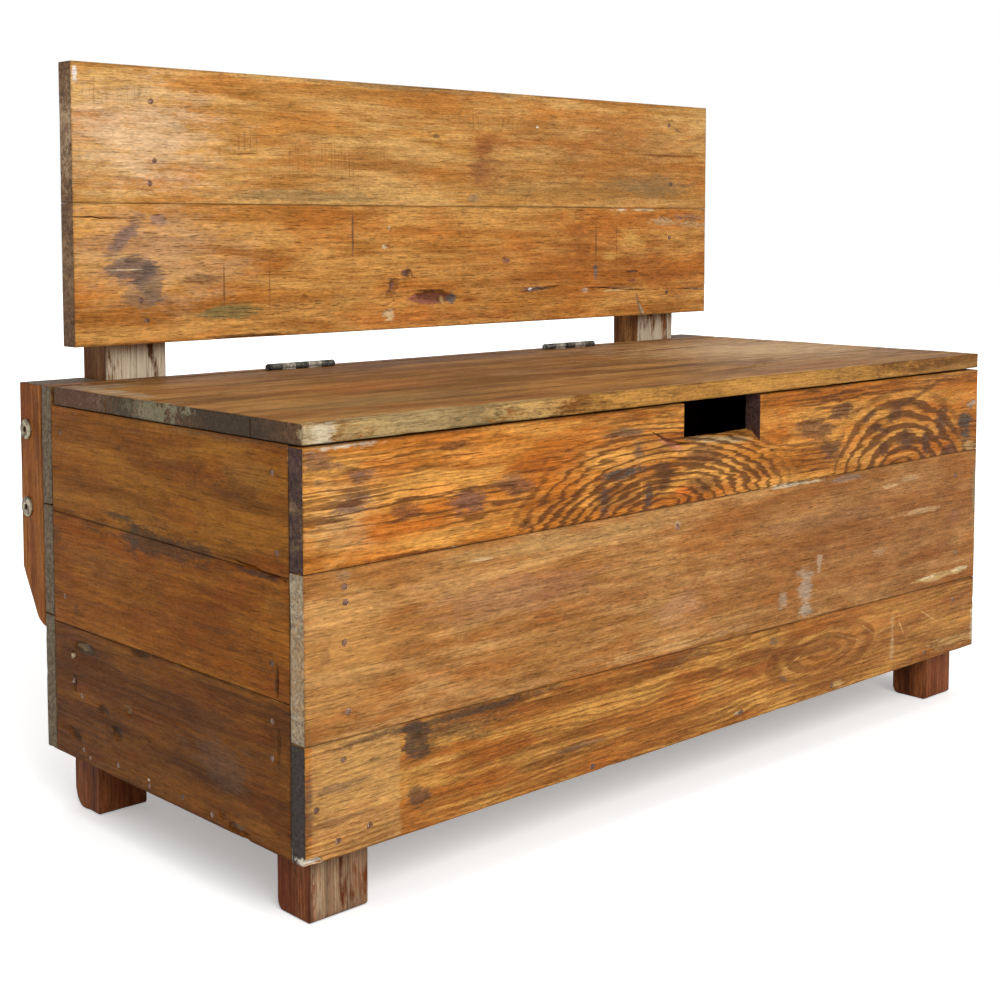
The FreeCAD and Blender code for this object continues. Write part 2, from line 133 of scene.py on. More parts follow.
# Noise in the wood: features per millimetre along, across and through the board, detail, roughness
# and, for some, distortion
wood_noise = {
    "swell": ((0.012, 0.06, 0.06), 2.0, 0.5),
    "shown": ((0.006, 0.03, 0.03), 3.0, 0.55),
    "coarse": ((0.028, 0.11, 0.11), 4.0, 0.62),
    "fine": ((0.15, 0.45, 0.45), 3.0, 0.6),
    "cloud": ((0.005, 0.04, 0.04), 7.0, 0.66, 0.5),
    "mottle": ((0.05, 0.24, 0.24), 5.0, 0.7),
    "grit": ((0.22, 0.8, 0.8), 3.0, 0.6),
    "warmth": ((0.010, 0.034, 0.034), 4.0, 0.6),
    "speckle": ((0.05, 0.33, 0.33), 5.0, 0.7),
    "spots": ((0.017, 0.026, 0.026), 4.0, 0.6),
}

# Shares that hold for all the wood
wood_contrast = 1.2
wood_gloss = 0.5
wood_sheen = 0.06
wood_grime = 0.45
wood_bare = 0.75
wood_pale = 0.35
wood_deepening = 0.42
arch_stray = 0.6
streak_rough = 0.16
bare_rough = 0.2

# Relief of the wood and the metal: how far each part of it sinks or rises, and the bump's full height
streak_depth = 0.25
pore_depth = 0.5
ring_depth = 0.2
mottle_height = 1.3
grit_height = 0.5
wood_bump = 0.6 * MM
metal_bump = 0.2 * MM
tarnish_rough = 0.25


def rgb(red, green, blue):
    """A colour written as it looks on a screen, 0 to 255, as the renderer wants it."""
    def linear(value):
        value = value / 255
        return value / 12.92 if value <= 0.04045 else ((value + 0.055) / 1.055) ** 2.4

    return (linear(red), linear(green), linear(blue), 1.0)


def add_camera():
    data = bpy.data.cameras.new("camera")
    data.lens = camera_lens
    data.sensor_width = camera_sensor
    data.shift_x, data.shift_y = camera_shift
    data.clip_start = 0.05
    camera = bpy.data.objects.new("camera", data)
    bpy.context.scene.collection.objects.link(camera)
    camera.location = camera_place
    camera.rotation_euler = (math.radians(90 - camera_elevation), 0, math.radians(camera_azimuth))
    bpy.context.scene.camera = camera


add_camera()


# Node trees

class Tree:
    """Adds nodes to one node tree. A value that is a socket is linked, and any other is set."""

    def __init__(self, tree):
        self.tree = tree

    def put(self, socket, value):
        if isinstance(value, bpy.types.NodeSocket):
            self.tree.links.new(value, socket)
        else:
            socket.default_value = value

    def node(self, kind, inputs=None, **settings):
        node = self.tree.nodes.new(kind)
        for name, value in settings.items():
            setattr(node, name, value)
        for name, value in (inputs or {}).items():
            self.put(node.inputs[name], value)
        return node

    def math(self, operation, first, second=0.5, clamp=False):
        node = self.node("ShaderNodeMath", {0: first, 1: second}, operation=operation, use_clamp=clamp)
        return node.outputs[0]

    def vector(self, operation, first, second=(0, 0, 0)):
        node = self.node("ShaderNodeVectorMath", {0: first, 1: second}, operation=operation)
        return node.outputs["Value" if operation in ("LENGTH", "DOT_PRODUCT") else "Vector"]

    def scale(self, colour, factor):
        """Makes a colour lighter or darker."""
        node = self.node("ShaderNodeVectorMath", {0: colour, "Scale": factor}, operation="SCALE")
        return node.outputs["Vector"]

    def split(self, vector):
        return self.node("ShaderNodeSeparateXYZ", {0: vector}).outputs

    def join(self, x, y, z):
        return self.node("ShaderNodeCombineXYZ", {0: x, 1: y, 2: z}).outputs[0]

    def blend(self, share, first, second, mode="MIX"):
        """Mixes two colours."""
        node = self.node("ShaderNodeMix", data_type="RGBA", blend_type=mode)
        for place, value in ((0, share), (6, first), (7, second)):
            self.put(node.inputs[place], value)
        return node.outputs[2]

    def between(self, share, first, second):
        """Mixes two numbers."""
        node = self.node("ShaderNodeMix", data_type="FLOAT")
        for place, value in ((0, share), (2, first), (3, second)):
            self.put(node.inputs[place], value)
        return node.outputs[0]

    def ease(self, value, low, high, first=0.0, last=1.0):
        """Goes smoothly from first to last while the value goes from low to high."""
        inputs = {"Value": value, "From Min": low, "From Max": high, "To Min": first, "To Max": last}
        node = self.node("ShaderNodeMapRange", inputs, interpolation_type="SMOOTHSTEP")
        return node.outputs[0]

    def noise(self, vector, stretch, detail=3.0, roughness=0.55, distortion=0.0):
        """Cloudy noise from 0 to 1. stretch gives its features per millimetre along each axis."""
        place = self.vector("MULTIPLY", vector, stretch)
        inputs = {"Vector": place, "Scale": 1.0, "Detail": detail, "Roughness": roughness}
        inputs["Distortion"] = distortion
        return self.node("ShaderNodeTexNoise", inputs).outputs[0]

    def use(self, name, inputs=None):
        """Places a node group and returns its outputs."""
        node = self.tree.nodes.new("ShaderNodeGroup")
        node.node_tree = bpy.data.node_groups[name]
        for key, value in (inputs or {}).items():
            self.put(node.inputs[key], value)
        return node.outputs


def make_group(name, inputs, outputs, fill):
    """Builds a node group. inputs maps names to defaults, and fill returns a value for each output."""
    tree = bpy.data.node_groups.new(name, "ShaderNodeTree")
    for key, default in inputs.items():
        kind = "NodeSocketVector" if isinstance(default, tuple) else "NodeSocketFloat"
        tree.interface.new_socket(key, in_out="INPUT", socket_type=kind).default_value = default
    for key in outputs:
        tree.interface.new_socket(key, in_out="OUTPUT", socket_type="NodeSocketFloat")
    made = Tree(tree)
    given = tree.nodes.new("NodeGroupInput").outputs
    leave = tree.nodes.new("NodeGroupOutput")
    for key, value in zip(outputs, fill(made, given)):
        made.put(leave.inputs[key], value)


def fill_fibre(tree, given):
    """Fine dark and pale streaks, short dark pores and broad bands, all drawn out along the grain."""
    place = given["Vector"]
    fine = tree.noise(place, (0.014, 0.75, 0.75), 4.0, 0.62)
    streaks = tree.ease(fine, 0.42, 0.66)
    pale = tree.ease(fine, 0.44, 0.26)
    dashes = tree.noise(place, (0.075, 1.1, 1.1), 1.5, 0.5)
    pores = tree.ease(dashes, 0.60, 0.70)
    broad = tree.noise(place, (0.0035, 0.06, 0.06), 3.0, 0.55, 0.4)
    bands = tree.ease(broad, 0.30, 0.70)
    return streaks, pale, pores, bands


def fill_drift(tree, given):
    """How far growth rings stray: slowly, in ripples, and in small teeth where fibres pull them."""
    place = given["Vector"]
    total = 0.0
    for stretch, detail, amount in (
        ((0.0045, 0.022, 0.022), 2.0, "Wander"),
        ((0.03, 0.09, 0.09), 2.0, "Ripple"),
        ((0.012, 0.3, 0.3), 2.0, "Teeth"),
    ):
        stray = tree.math("SUBTRACT", tree.noise(place, stretch, detail, 0.5), 0.5)
        total = tree.math("ADD", tree.math("MULTIPLY", stray, given[amount]), total)
    return (total,)


def fill_arch(tree, given):
    """Distance from a centre that rings bend round, and where that bend holds."""
    offset = tree.vector("SUBTRACT", given["Vector"], given["Centre"])
    distance = tree.vector("LENGTH", tree.vector("MULTIPLY", offset, given["Squash"]))
    reach = tree.vector("LENGTH", tree.vector("DIVIDE", offset, given["Reach"]))
    return distance, tree.ease(reach, 1.0, 0.72)


def fill_rings(tree, given):
    """Dark late wood, a pitch apart in the field. Start says how wide the dark part is."""
    turn = tree.math("FRACT", tree.math("DIVIDE", given["Field"], given["Pitch"]))
    rise = tree.ease(turn, given["Start"], tree.math("ADD", given["Start"], 0.3))
    fall = tree.ease(turn, 1.0, 0.86)
    return (tree.math("MULTIPLY", rise, fall),)


def fill_patch(tree, given):
    """A patch on the surface, round or square, with an edge broken up by the noise that it is given."""
    offset = tree.vector("SUBTRACT", given["Vector"], given["Centre"])
    turned = tree.node("ShaderNodeVectorRotate", {"Vector": offset, "Angle": given["Turn"]})
    turned.rotation_type = "Z_AXIS"
    scaled = tree.vector("ABSOLUTE", tree.vector("DIVIDE", turned.outputs[0], given["Reach"]))
    x, y, _ = tree.split(scaled)
    square = tree.math("MAXIMUM", x, y)
    reach = tree.between(given["Square"], tree.vector("LENGTH", tree.join(x, y, 0.0)), square)
    inputs = {0: given["Noise"], 1: given["Ragged"], 2: reach}
    edge = tree.node("ShaderNodeMath", inputs, operation="MULTIPLY_ADD").outputs[0]
    return (tree.ease(edge, 1.0, given["Inner"]),)


def fill_wear(tree, given):
    """Where an edge is rubbed bare and where dirt lies along it, from the mesh's own edge values."""
    edge = tree.node("ShaderNodeAttribute", attribute_name="edge").outputs["Fac"]
    rub = tree.noise(given["Vector"], (0.03, 0.09, 0.09), 4.0, 0.65)
    amount = tree.math("MULTIPLY", given["Amount"], 1.6)
    needed = tree.math("SUBTRACT", 1.5, tree.math("MULTIPLY", amount, rub))
    worn = tree.ease(edge, needed, tree.math("ADD", needed, 0.22))
    dirt = tree.noise(given["Vector"], (0.012, 0.2, 0.2), 4.0, 0.6)
    reach = tree.math("ADD", edge, tree.math("SUBTRACT", dirt, 0.5))
    return worn, tree.ease(reach, 0.62, 1.05)


def fill_sawn(tree, given):
    """Faint lines across the board, left by the saw."""
    lines = tree.noise(given["Vector"], (0.42, 0.012, 0.01), 2.0, 0.6)
    return (tree.ease(lines, 0.50, 0.66),)


def fill_metal(tree, given):
    """Old metal: where tarnish lies, where it is rubbed bright, and fine pitting."""
    place = given["Vector"]
    cloud = tree.noise(place, (0.16, 0.16, 0.16), 5.0, 0.62)
    tarnish = tree.ease(cloud, 0.36, 0.62)
    rubbed = tree.ease(tree.noise(place, (0.45, 0.45, 0.45), 4.0, 0.6), 0.55, 0.72)
    pitting = tree.noise(place, (1.6, 1.6, 1.6), 3.0, 0.6)
    return tarnish, rubbed, pitting


make_group("fibre", {"Vector": (0, 0, 0)}, ["Streaks", "Pale", "Pores", "Bands"], fill_fibre)
make_group(
    "ring_drift", {"Vector": (0, 0, 0), "Wander": 30.0, "Ripple": 6.0, "Teeth": 2.0}, ["Drift"], fill_drift
)
arch_inputs = {"Vector": (0, 0, 0), "Centre": (0, 0, 0), "Reach": (100, 50, 900), "Squash": (1, 1, 0)}
make_group("ring_arch", arch_inputs, ["Distance", "Share"], fill_arch)
make_group("rings", {"Field": 0.0, "Pitch": 6.0, "Start": 0.35}, ["Ring"], fill_rings)
patch_inputs = {"Vector": (0, 0, 0), "Centre": (0, 0, 0), "Reach": (10, 10, 900), "Inner": 0.5}
patch_inputs.update({"Ragged": 0.6, "Square": 0.0, "Turn": 0.0, "Noise": 0.0})
make_group("patch", patch_inputs, ["Mask"], fill_patch)
make_group("edge_wear", {"Vector": (0, 0, 0), "Amount": 0.8}, ["Mask", "Grime"], fill_wear)
make_group("saw_lines", {"Vector": (0, 0, 0)}, ["Mask"], fill_sawn)
make_group("old_metal", {"Vector": (0, 0, 0)}, ["Tarnish", "Rubbed", "Pitting"], fill_metal)

AXES = {"x": 0, "y": 1, "z": 2}


def stain_and_painted_light(colour, at, reach, strength=0.8, soft=0.6, ragged=1.2, square=0.0, turn=0.0, sawn=False):
    """A patch of colour on a board, mostly real marks and a few of painted shade and painted highlight: at
    and reach are along and across it, in millimetres, and turn in degrees.
    """
    return {
        "colour": colour,
        "at": at,
        "reach": reach,
        "strength": strength,
        "soft": soft,
        "ragged": ragged,
        "square": square,
        "turn": -math.radians(turn),
        "sawn": sawn,
    }


def arch(at, reach, squash=1.0, pitch=6.0):
    """A centre that growth rings bend round: at and reach along and across, squash along the board."""
    return {"at": at, "reach": reach, "squash": squash, "pitch": pitch}


def ring_figure(tree, place, scattered, stray, pitch, calm, arches):
    """Growth rings: nearly straight along the board, and bent round the centres of the arches."""
    wander, ripple, teeth = stray
    inputs = {"Vector": scattered, "Wander": wander, "Ripple": ripple, "Teeth": teeth}
    drift = tree.use("ring_drift", inputs)["Drift"]
    straight = tree.math("ADD", tree.split(place)[1], drift)
    swell = tree.noise(scattered, *wood_noise["swell"])
    start = tree.ease(swell, 0.32, 0.68, 0.05, 0.55)
    rings = tree.use("rings", {"Field": straight, "Pitch": pitch, "Start": start})["Ring"]
    shown = tree.ease(tree.noise(scattered, *wood_noise["shown"]), 0.42, 0.6, calm, 1.0)
    rings = tree.math("MULTIPLY", rings, shown)
    for bend in arches:
        inputs = {"Vector": place, "Centre": (*bend["at"], 0.0), "Reach": (*bend["reach"], 900.0)}
        inputs["Squash"] = (bend["squash"], 1.0, 0.0)
        bent = tree.use("ring_arch", inputs)
        strayed = tree.math("MULTIPLY", drift, arch_stray)
        field = tree.math("ADD", bent["Distance"], strayed)
        inputs = {"Field": field, "Pitch": bend["pitch"], "Start": start}
        rings = tree.between(bent["Share"], rings, tree.use("rings", inputs)["Ring"])
    return rings


def lay_stains_and_painted_light(tree, tone, place, stains_and_painted_light, break_up, thin, lines):
    """Lays the patches over the wood, the first one lowest: real marks together with painted shade and
    painted highlights.
    """
    for spot in stains_and_painted_light:
        inputs = {"Vector": place, "Centre": (*spot["at"], 0.0), "Reach": (*spot["reach"], 900.0)}
        inputs.update({"Inner": 1 - spot["soft"], "Ragged": spot["ragged"], "Square": spot["square"]})
        inputs.update({"Turn": spot["turn"], "Noise": break_up})
        mask = tree.use("patch", inputs)["Mask"]
        mask = tree.math("MULTIPLY", mask, lines if spot["sawn"] else thin)
        share = tree.math("MULTIPLY", mask, spot["strength"])
        tone = tree.blend(share, tone, rgb(*spot["colour"]))
    return tone


def around(tree, noise, amount):
    """Noise that lies evenly on both sides of nought."""
    return tree.math("MULTIPLY", tree.math("SUBTRACT", noise, 0.5), amount)


def wood(
    name,
    grain="xzy",
    dark=(110, 66, 30),
    middle=(160, 104, 54),
    light=(196, 146, 90),
    ring=(96, 52, 22),
    ring_strength=0.35,
    pitch=7.0,
    wander=34.0,
    ripple=6.0,
    teeth=2.0,
    arches=(),
    calm=0.5,
    streaks=0.25,
    pores=0.4,
    blotch=0.5,
    weathered=None,
    wear=0.6,
    bare=(205, 180, 145),
    end=((62, 48, 40), (112, 92, 70)),
    stains_and_painted_light=(),
    relief=0.7,
    seed=0,
):
    """A board's wood, coloured and waxed. grain names the axes along, across and through the board."""
    material = bpy.data.materials.new(name)
    material.use_nodes = True
    tree = Tree(material.node_tree)
    shader = material.node_tree.nodes["Principled BSDF"]
    point = tree.node("ShaderNodeTexCoord").outputs
    here = tree.split(point["Object"])
    in_board = tree.join(*[here[AXES[axis]] for axis in grain])
    place = tree.vector("MULTIPLY", in_board, (1 / MM, 1 / MM, 1 / MM))
    scattered = tree.vector("ADD", place, (seed * 317.0, seed * 131.0, seed * 71.0))

    # Grain, rings and noise
    fibre = tree.use("fibre", {"Vector": scattered})
    rings = ring_figure(tree, place, scattered, (wander, ripple, teeth), pitch, calm, arches)
    coarse = tree.noise(place, *wood_noise["coarse"])
    fine = tree.noise(place, *wood_noise["fine"])
    break_up = around(tree, tree.between(0.4, coarse, fine), 2.6)
    thin = tree.ease(fine, 0.25, 0.5, 0.55, 1.0)
    cloud = tree.noise(scattered, *wood_noise["cloud"])
    mottle = tree.noise(scattered, *wood_noise["mottle"])
    grit = tree.noise(scattered, *wood_noise["grit"])

    # The wood's own colours
    tone = tree.blend(fibre["Bands"], rgb(*dark), rgb(*middle))
    tone = tree.blend(tree.ease(cloud, 0.42, 0.60), tone, rgb(*light))
    red = rgb(middle[0] * 0.96, middle[1] * 0.8, middle[2] * 0.6)
    warmth = tree.noise(scattered, *wood_noise["warmth"])
    tone = tree.blend(tree.ease(warmth, 0.48, 0.64, 0.0, 0.45), tone, red)
    paler = rgb(*[min(255, 1.1 * part) for part in light])
    tone = tree.blend(tree.math("MULTIPLY", fibre["Pale"], wood_pale), tone, paler)
    deep = rgb(*[wood_deepening * part for part in dark])

    # End grain
    along = tree.split(point["Normal"])[AXES[grain[0]]]
    end_face = tree.ease(tree.math("ABSOLUTE", along), 0.6, 0.85)
    speckle = tree.noise(scattered, *wood_noise["speckle"])
    end_tone = tree.blend(tree.ease(speckle, 0.3, 0.7), rgb(*end[0]), rgb(*end[1]))
    tone = tree.blend(end_face, tone, end_tone)

    # Stains and patches of painted shade and painted highlight, with the rings, streaks and pores over
    # them
    lines = tree.use("saw_lines", {"Vector": scattered})["Mask"]
    tone = lay_stains_and_painted_light(tree, tone, place, stains_and_painted_light, break_up, thin, lines)
    face = tree.math("SUBTRACT", 1.0, end_face)
    ring_share = tree.math("MULTIPLY", rings, tree.math("MULTIPLY", face, ring_strength))
    tone = tree.blend(ring_share, tone, rgb(*ring))
    streak_share = tree.math("MULTIPLY", fibre["Streaks"], tree.math("MULTIPLY", face, streaks))
    tone = tree.blend(streak_share, tone, deep)
    tone = tree.blend(tree.math("MULTIPLY", fibre["Pores"], pores), tone, deep)

    # Unevenness, weathering, dirt and wear
    uneven = around(tree, mottle, wood_contrast)
    uneven = tree.math("ADD", uneven, around(tree, grit, wood_contrast))
    spots = tree.noise(scattered, *wood_noise["spots"])
    uneven = tree.math("ADD", uneven, around(tree, spots, blotch))
    tone = tree.scale(tone, tree.math("ADD", uneven, 1.0))
    if weathered:
        forward = tree.math("MULTIPLY", tree.split(point["Normal"])[1], -1.0)
        mask = tree.math("MULTIPLY", tree.ease(forward, 0.5, 0.8), tree.ease(coarse, 0.36, 0.52))
        tone = tree.blend(tree.math("MULTIPLY", mask, weathered[1]), tone, rgb(*weathered[0]))
        tone = tree.blend(tree.math("MULTIPLY", fibre["Streaks"], 0.4), tone, deep)
    worn = tree.use("edge_wear", {"Vector": scattered, "Amount": wear})
    tone = tree.blend(tree.math("MULTIPLY", worn["Grime"], wood_grime), tone, deep)
    tone = tree.blend(tree.math("MULTIPLY", worn["Mask"], wood_bare), tone, rgb(*bare))
    tree.put(shader.inputs["Base Color"], tone)

    # Gloss and relief
    tree.put(shader.inputs["Specular IOR Level"], wood_sheen)
    rough = tree.math("ADD", tree.math("MULTIPLY", fibre["Streaks"], streak_rough), wood_gloss)
    rough = tree.math("ADD", rough, tree.math("MULTIPLY", worn["Mask"], bare_rough), clamp=True)
    tree.put(shader.inputs["Roughness"], rough)
    height = tree.math("MULTIPLY", fibre["Streaks"], -streak_depth)
    height = tree.math("SUBTRACT", height, tree.math("MULTIPLY", fibre["Pores"], pore_depth))
    height = tree.math("SUBTRACT", height, tree.math("MULTIPLY", rings, ring_depth))
    height = tree.math("ADD", height, tree.math("MULTIPLY", mottle, mottle_height))
    height = tree.math("ADD", height, tree.math("MULTIPLY", grit, grit_height))
    height = tree.math("ADD", height, tree.math("MULTIPLY", end_face, speckle))
    bump = tree.node("ShaderNodeBump", {"Height": height, "Strength": relief, "Distance": wood_bump})
    tree.put(shader.inputs["Normal"], bump.outputs[0])
    return material


def old_metal(name, base, tarnish, bright, metallic=0.9, gloss=0.42, relief=0.3):
    """Metal that has darkened with age and is rubbed bright in places."""
    material = bpy.data.materials.new(name)
    material.use_nodes = True
    tree = Tree(material.node_tree)
    shader = material.node_tree.nodes["Principled BSDF"]
    point = tree.node("ShaderNodeTexCoord").outputs["Object"]
    place = tree.vector("MULTIPLY", point, (1 / MM, 1 / MM, 1 / MM))
    age = tree.use("old_metal", {"Vector": place})
    tone = tree.blend(age["Tarnish"], rgb(*base), rgb(*tarnish))
    tone = tree.blend(age["Rubbed"], tone, rgb(*bright))
    tree.put(shader.inputs["Base Color"], tone)
    tree.put(shader.inputs["Metallic"], metallic)
    rough = tree.math("ADD", tree.math("MULTIPLY", age["Tarnish"], tarnish_rough), gloss)
    tree.put(shader.inputs["Roughness"], rough)
    inputs = {"Height": age["Pitting"], "Strength": relief, "Distance": metal_bump}
    bump = tree.node("ShaderNodeBump", inputs)
    tree.put(shader.inputs["Normal"], bump.outputs[0])
    return material


# Meshes

lattice = np.random.default_rng(11).uniform(-1, 1, (32, 32, 32))


def soft_noise(points, stretch, seed):
    """Smooth noise from -1 to 1 at each point, with features as long as stretch on each axis."""
    place = points / np.array(stretch, float) + seed * 7.31
    cell = np.floor(place).astype(int)
    part = place - cell
    part = part * part * (3 - 2 * part)
    total = np.zeros(len(points))
    for corner in itertools.product((0, 1), repeat=3):
        share = np.prod(np.where(corner, part, 1 - part), axis=1)
        x, y, z = ((cell + corner) % len(lattice)).T
        total += share * lattice[x, y, z]
    return total


def stops(length, cell):
    """Places of the grid lines along one side of a board, close together near both ends."""
    steps = [step for step in arris_steps if step < length * 0.45]
    count = max(1, round((length - 2 * steps[-1]) / cell))
    middle = np.linspace(steps[-1], length - steps[-1], count + 1)
    return np.concatenate([steps[:-1], middle, [length - step for step in steps[-2::-1]]])


def box_shell(along, across, through):
    """Points and square faces of a box divided at the given places."""
    shape = (len(along), len(across), len(through))
    index = np.indices(shape)
    outside = np.zeros(shape, bool)
    for axis, count in enumerate(shape):
        outside |= (index[axis] == 0) | (index[axis] == count - 1)
    names = np.full(shape, -1)
    names[outside] = np.arange(outside.sum())
    points = np.stack(np.meshgrid(along, across, through, indexing="ij"), -1)[outside]
    faces = []
    for axis in range(3):
        for end in (0, -1):
            sheet = np.take(names, end, axis)
            corners = [sheet[:-1, :-1], sheet[1:, :-1], sheet[1:, 1:], sheet[:-1, 1:]]
            if (axis == 1) != (end == 0):
                corners.reverse()
            faces.append(np.stack(corners, -1).reshape(-1, 4))
    return points, np.concatenate(faces)


def add_mesh(name, points, faces, edge=None):
    """A smooth mesh object from points in metres, with its edge values where they are given."""
    mesh = bpy.data.meshes.new(name)
    mesh.from_pydata([tuple(point) for point in points], [], [tuple(face) for face in faces])
    if edge is not None:
        mesh.attributes.new("edge", "FLOAT", "POINT").data.foreach_set("value", edge)
    mesh.shade_smooth()
    piece = bpy.data.objects.new(name, mesh)
    bpy.context.scene.collection.objects.link(piece)
    return piece


def sloped(first, last):
    """A range that changes evenly along a board: its ends at the first and last place."""
    def at(share):
        low = first[0] + (last[0] - first[0]) * share
        high = first[1] + (last[1] - first[1]) * share
        return low, high

    return at


def spread(local, size, limits, share):
    """Carries a coordinate from 0..size into a range, which may change along the board."""
    low, high = limits(share) if callable(limits) else limits
    return low + local / size * (high - low)


def plank(name, grain, along, across, through, seed, ease=arris_round, chip=arris_chip, tight=1.0):
    """A worn board. along, across and through are its ranges; the last two may change along it."""
    def nominal(limits):
        if not callable(limits):
            return limits[1] - limits[0]
        return max(high - low for low, high in (limits(0.0), limits(0.5), limits(1.0)))

    size = np.array([along[1] - along[0], nominal(across), nominal(through)])
    cells = (cell_along, cell_across, cell_across)
    points, faces = box_shell(*[stops(length, cell) for length, cell in zip(size, cells)])
    near_side = np.sort(np.minimum(points, size - points), axis=1)
    edge = np.clip(1 - near_side[:, 1] / edge_reach, 0, 1)
    wobble = 1 + 0.5 * soft_noise(points, (45, 45, 45), seed)
    chips = np.clip(soft_noise(points, (16, 9, 9), seed + 3) - 0.42, 0, 1)
    radius = np.minimum(ease * wobble + chip * chips, size.min() * 0.4)[:, None]
    core = np.clip(points, radius, size - radius)
    normal = points - core
    normal /= np.linalg.norm(normal, axis=1)[:, None]
    sunk = face_wave * (0.5 + 0.5 * soft_noise(points, (130, 32, 32), seed + 5))
    sunk += 0.4 * face_wave * edge * (1 + soft_noise(points, (30, 30, 30), seed + 7))
    points = core + normal * (radius - sunk[:, None] * (1.0, tight, 1.0))
    share = points[:, 0] / size[0]
    placed = [along[0] + points[:, 0]]
    placed.append(spread(points[:, 1], size[1], across, share))
    placed.append(spread(points[:, 2], size[2], through, share))
    order = [AXES[axis] for axis in grain]
    world = np.empty_like(points)
    for axis, values in zip(order, placed):
        world[:, axis] = values * MM
    if order in ([0, 2, 1], [2, 1, 0], [1, 0, 2]):
        faces = faces[:, ::-1]
    return add_mesh(name, world, faces, edge)


class Side:
    """One face of the bench. Marks on it are placed along and across it, and outward from it."""

    def __init__(self, grain, level, outward):
        self.order = [AXES[axis] for axis in grain]
        self.level = level
        self.outward = outward

    def world(self, along, across, out=0.0):
        point = [0.0, 0.0, 0.0]
        point[self.order[0]] = along * MM
        point[self.order[1]] = across * MM
        point[self.order[2]] = (self.level + self.outward * out) * MM
        return tuple(point)


def rings_to_mesh(rings):
    """Joins rings of as many points each, one after another, and closes both ends."""
    count = len(rings[0])
    points = [point for ring in rings for point in ring]
    faces = [tuple(range(count))[::-1]]
    for row in range(len(rings) - 1):
        for here in range(count):
            after = (here + 1) % count
            base = row * count
            faces.append((base + here, base + after, base + count + after, base + count + here))
    faces.append(tuple(range((len(rings) - 1) * count, len(rings) * count)))
    return points, faces


def pit(side, at, reach, depth, dice, turn=0.0, corners=dent_corners):
    """A hollow in a face: round or long, with a ragged rim and a floor that narrows."""
    rim = 1 + hollow_raggedness * dice.uniform(-1, 1, corners)
    rings = []
    for share, out in ((1.12, 1.2), (1.0, 0.0), (0.82, -0.65 * depth), (0.5, -depth)):
        ring = []
        for step in range(corners):
            angle = 2 * math.pi * step / corners
            x = reach[0] * share * rim[step] * math.cos(angle)
            y = reach[1] * share * rim[step] * math.sin(angle)
            bent = (x * math.cos(turn) - y * math.sin(turn), x * math.sin(turn) + y * math.cos(turn))
            ring.append(side.world(at[0] + bent[0], at[1] + bent[1], out))
        rings.append(ring)
    return rings_to_mesh(rings)


def crack(side, path, width, depth, dice):
    """An open crack along a path, widest in its middle, with its walls meeting below the face."""
    rings = []
    last = len(path) - 1
    for step, (along, across) in enumerate(path):
        swell = math.sin(math.pi * (step + 0.35) / (last + 0.7))
        half = width / 2 * swell * dice.uniform(0.7, 1.3)
        skew = dice.uniform(-0.3, 0.3) * width
        ring = [
            side.world(along, across - half * 1.6, 1.0),
            side.world(along, across - half, -0.3),
            side.world(along, across + skew, -depth * (0.3 + 0.7 * swell)),
            side.world(along, across + half, -0.3),
            side.world(along, across + half * 1.6, 1.0),
        ]
        rings.append(ring)
    return rings_to_mesh(rings)


def wandering(start, end, count, sway, dice):
    """Points from start to end that stray to either side on the way."""
    points = []
    for step in range(count + 1):
        share = step / count
        stray = sway * math.sin(math.pi * share) * dice.uniform(-1, 1)
        along = start[0] + (end[0] - start[0]) * share
        points.append((along, start[1] + (end[1] - start[1]) * share + stray))
    return points


def join_meshes(parts):
    points, faces = [], []
    for more_points, more_faces in parts:
        base = len(points)
        points += more_points
        faces += [tuple(base + corner for corner in face) for face in more_faces]
    return points, faces


def facing_out(mesh):
    shape = bmesh.new()
    shape.from_mesh(mesh)
    bmesh.ops.recalc_face_normals(shape, faces=shape.faces)
    shape.to_mesh(mesh)
    shape.free()


def touch(first, second):
    """Whether two boxes touch. Each is its low and its high corner."""
    return np.all(first[0] <= second[1]) and np.all(first[1] >= second[0])


def apart(cutters):
    """Sorts cutters into groups in which no two touch, because cutters that overlap spoil a cut."""
    groups = []
    for cutter in cutters:
        box = (np.min(cutter[0], axis=0), np.max(cutter[0], axis=0))
        for group in groups:
            if not any(touch(box, other) for _, other in group):
                group.append((cutter, box))
                break
        else:
            groups.append([(cutter, box)])
    return [[cutter for cutter, _ in group] for group in groups]


def volume(mesh):
    shape = bmesh.new()
    shape.from_mesh(mesh)
    amount = abs(shape.calc_volume())
    shape.free()
    return amount


def cut_away(piece, cutters):
    """Cuts hollows out of a piece. The slow way is for a board that the quick way spoils."""
    for group in apart(cutters):
        tool = add_mesh("tool", *join_meshes(group))
        facing_out(tool.data)
        cut = piece.modifiers.new("cut", "BOOLEAN")
        cut.operation = "DIFFERENCE"
        cut.solver = "EXACT"
        cut.object = tool
        for slow in (False, True):
            cut.use_self = slow
            view = bpy.context.evaluated_depsgraph_get()
            result = bpy.data.meshes.new_from_object(piece.evaluated_get(view))
            if volume(result) > kept_share * volume(piece.data):
                break
        piece.modifiers.remove(cut)
        old = piece.data
        piece.data = result
        result.name = piece.name
        bpy.data.meshes.remove(old)
        bpy.data.objects.remove(tool)
    piece.data.set_sharp_from_angle(angle=smooth_angle)


def finish(piece, material, slot, body="bench", nodes=()):
    """Gives a piece its material and body, and hides the nodes that it stands for."""
    piece.data.materials.clear()
    piece.data.materials.append(material)
    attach(piece, body)
    if nodes:
        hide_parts(*nodes)


def limits(node, axis):
    """A node's range along X, Y or Z, in millimetres."""
    low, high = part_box(node)
    place = AXES[axis]
    return low[place] / MM, high[place] / MM


# The bench's faces and driving places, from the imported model
left_x, right_x = limits("front_board_top", "x")
front_y = limits("front_board_top", "y")[0]
panel_bottom = limits("front_board_bottom", "z")[0]
panel_top = limits("front_board_top", "z")[1]
side_front_y, side_back_y = limits("left_side_board_top", "y")
lid_bottom, lid_top = limits("lid_board_front", "z")
side_top = lid_bottom - side_clearance
rest_front_y = limits("backrest_board_upper", "y")[0]

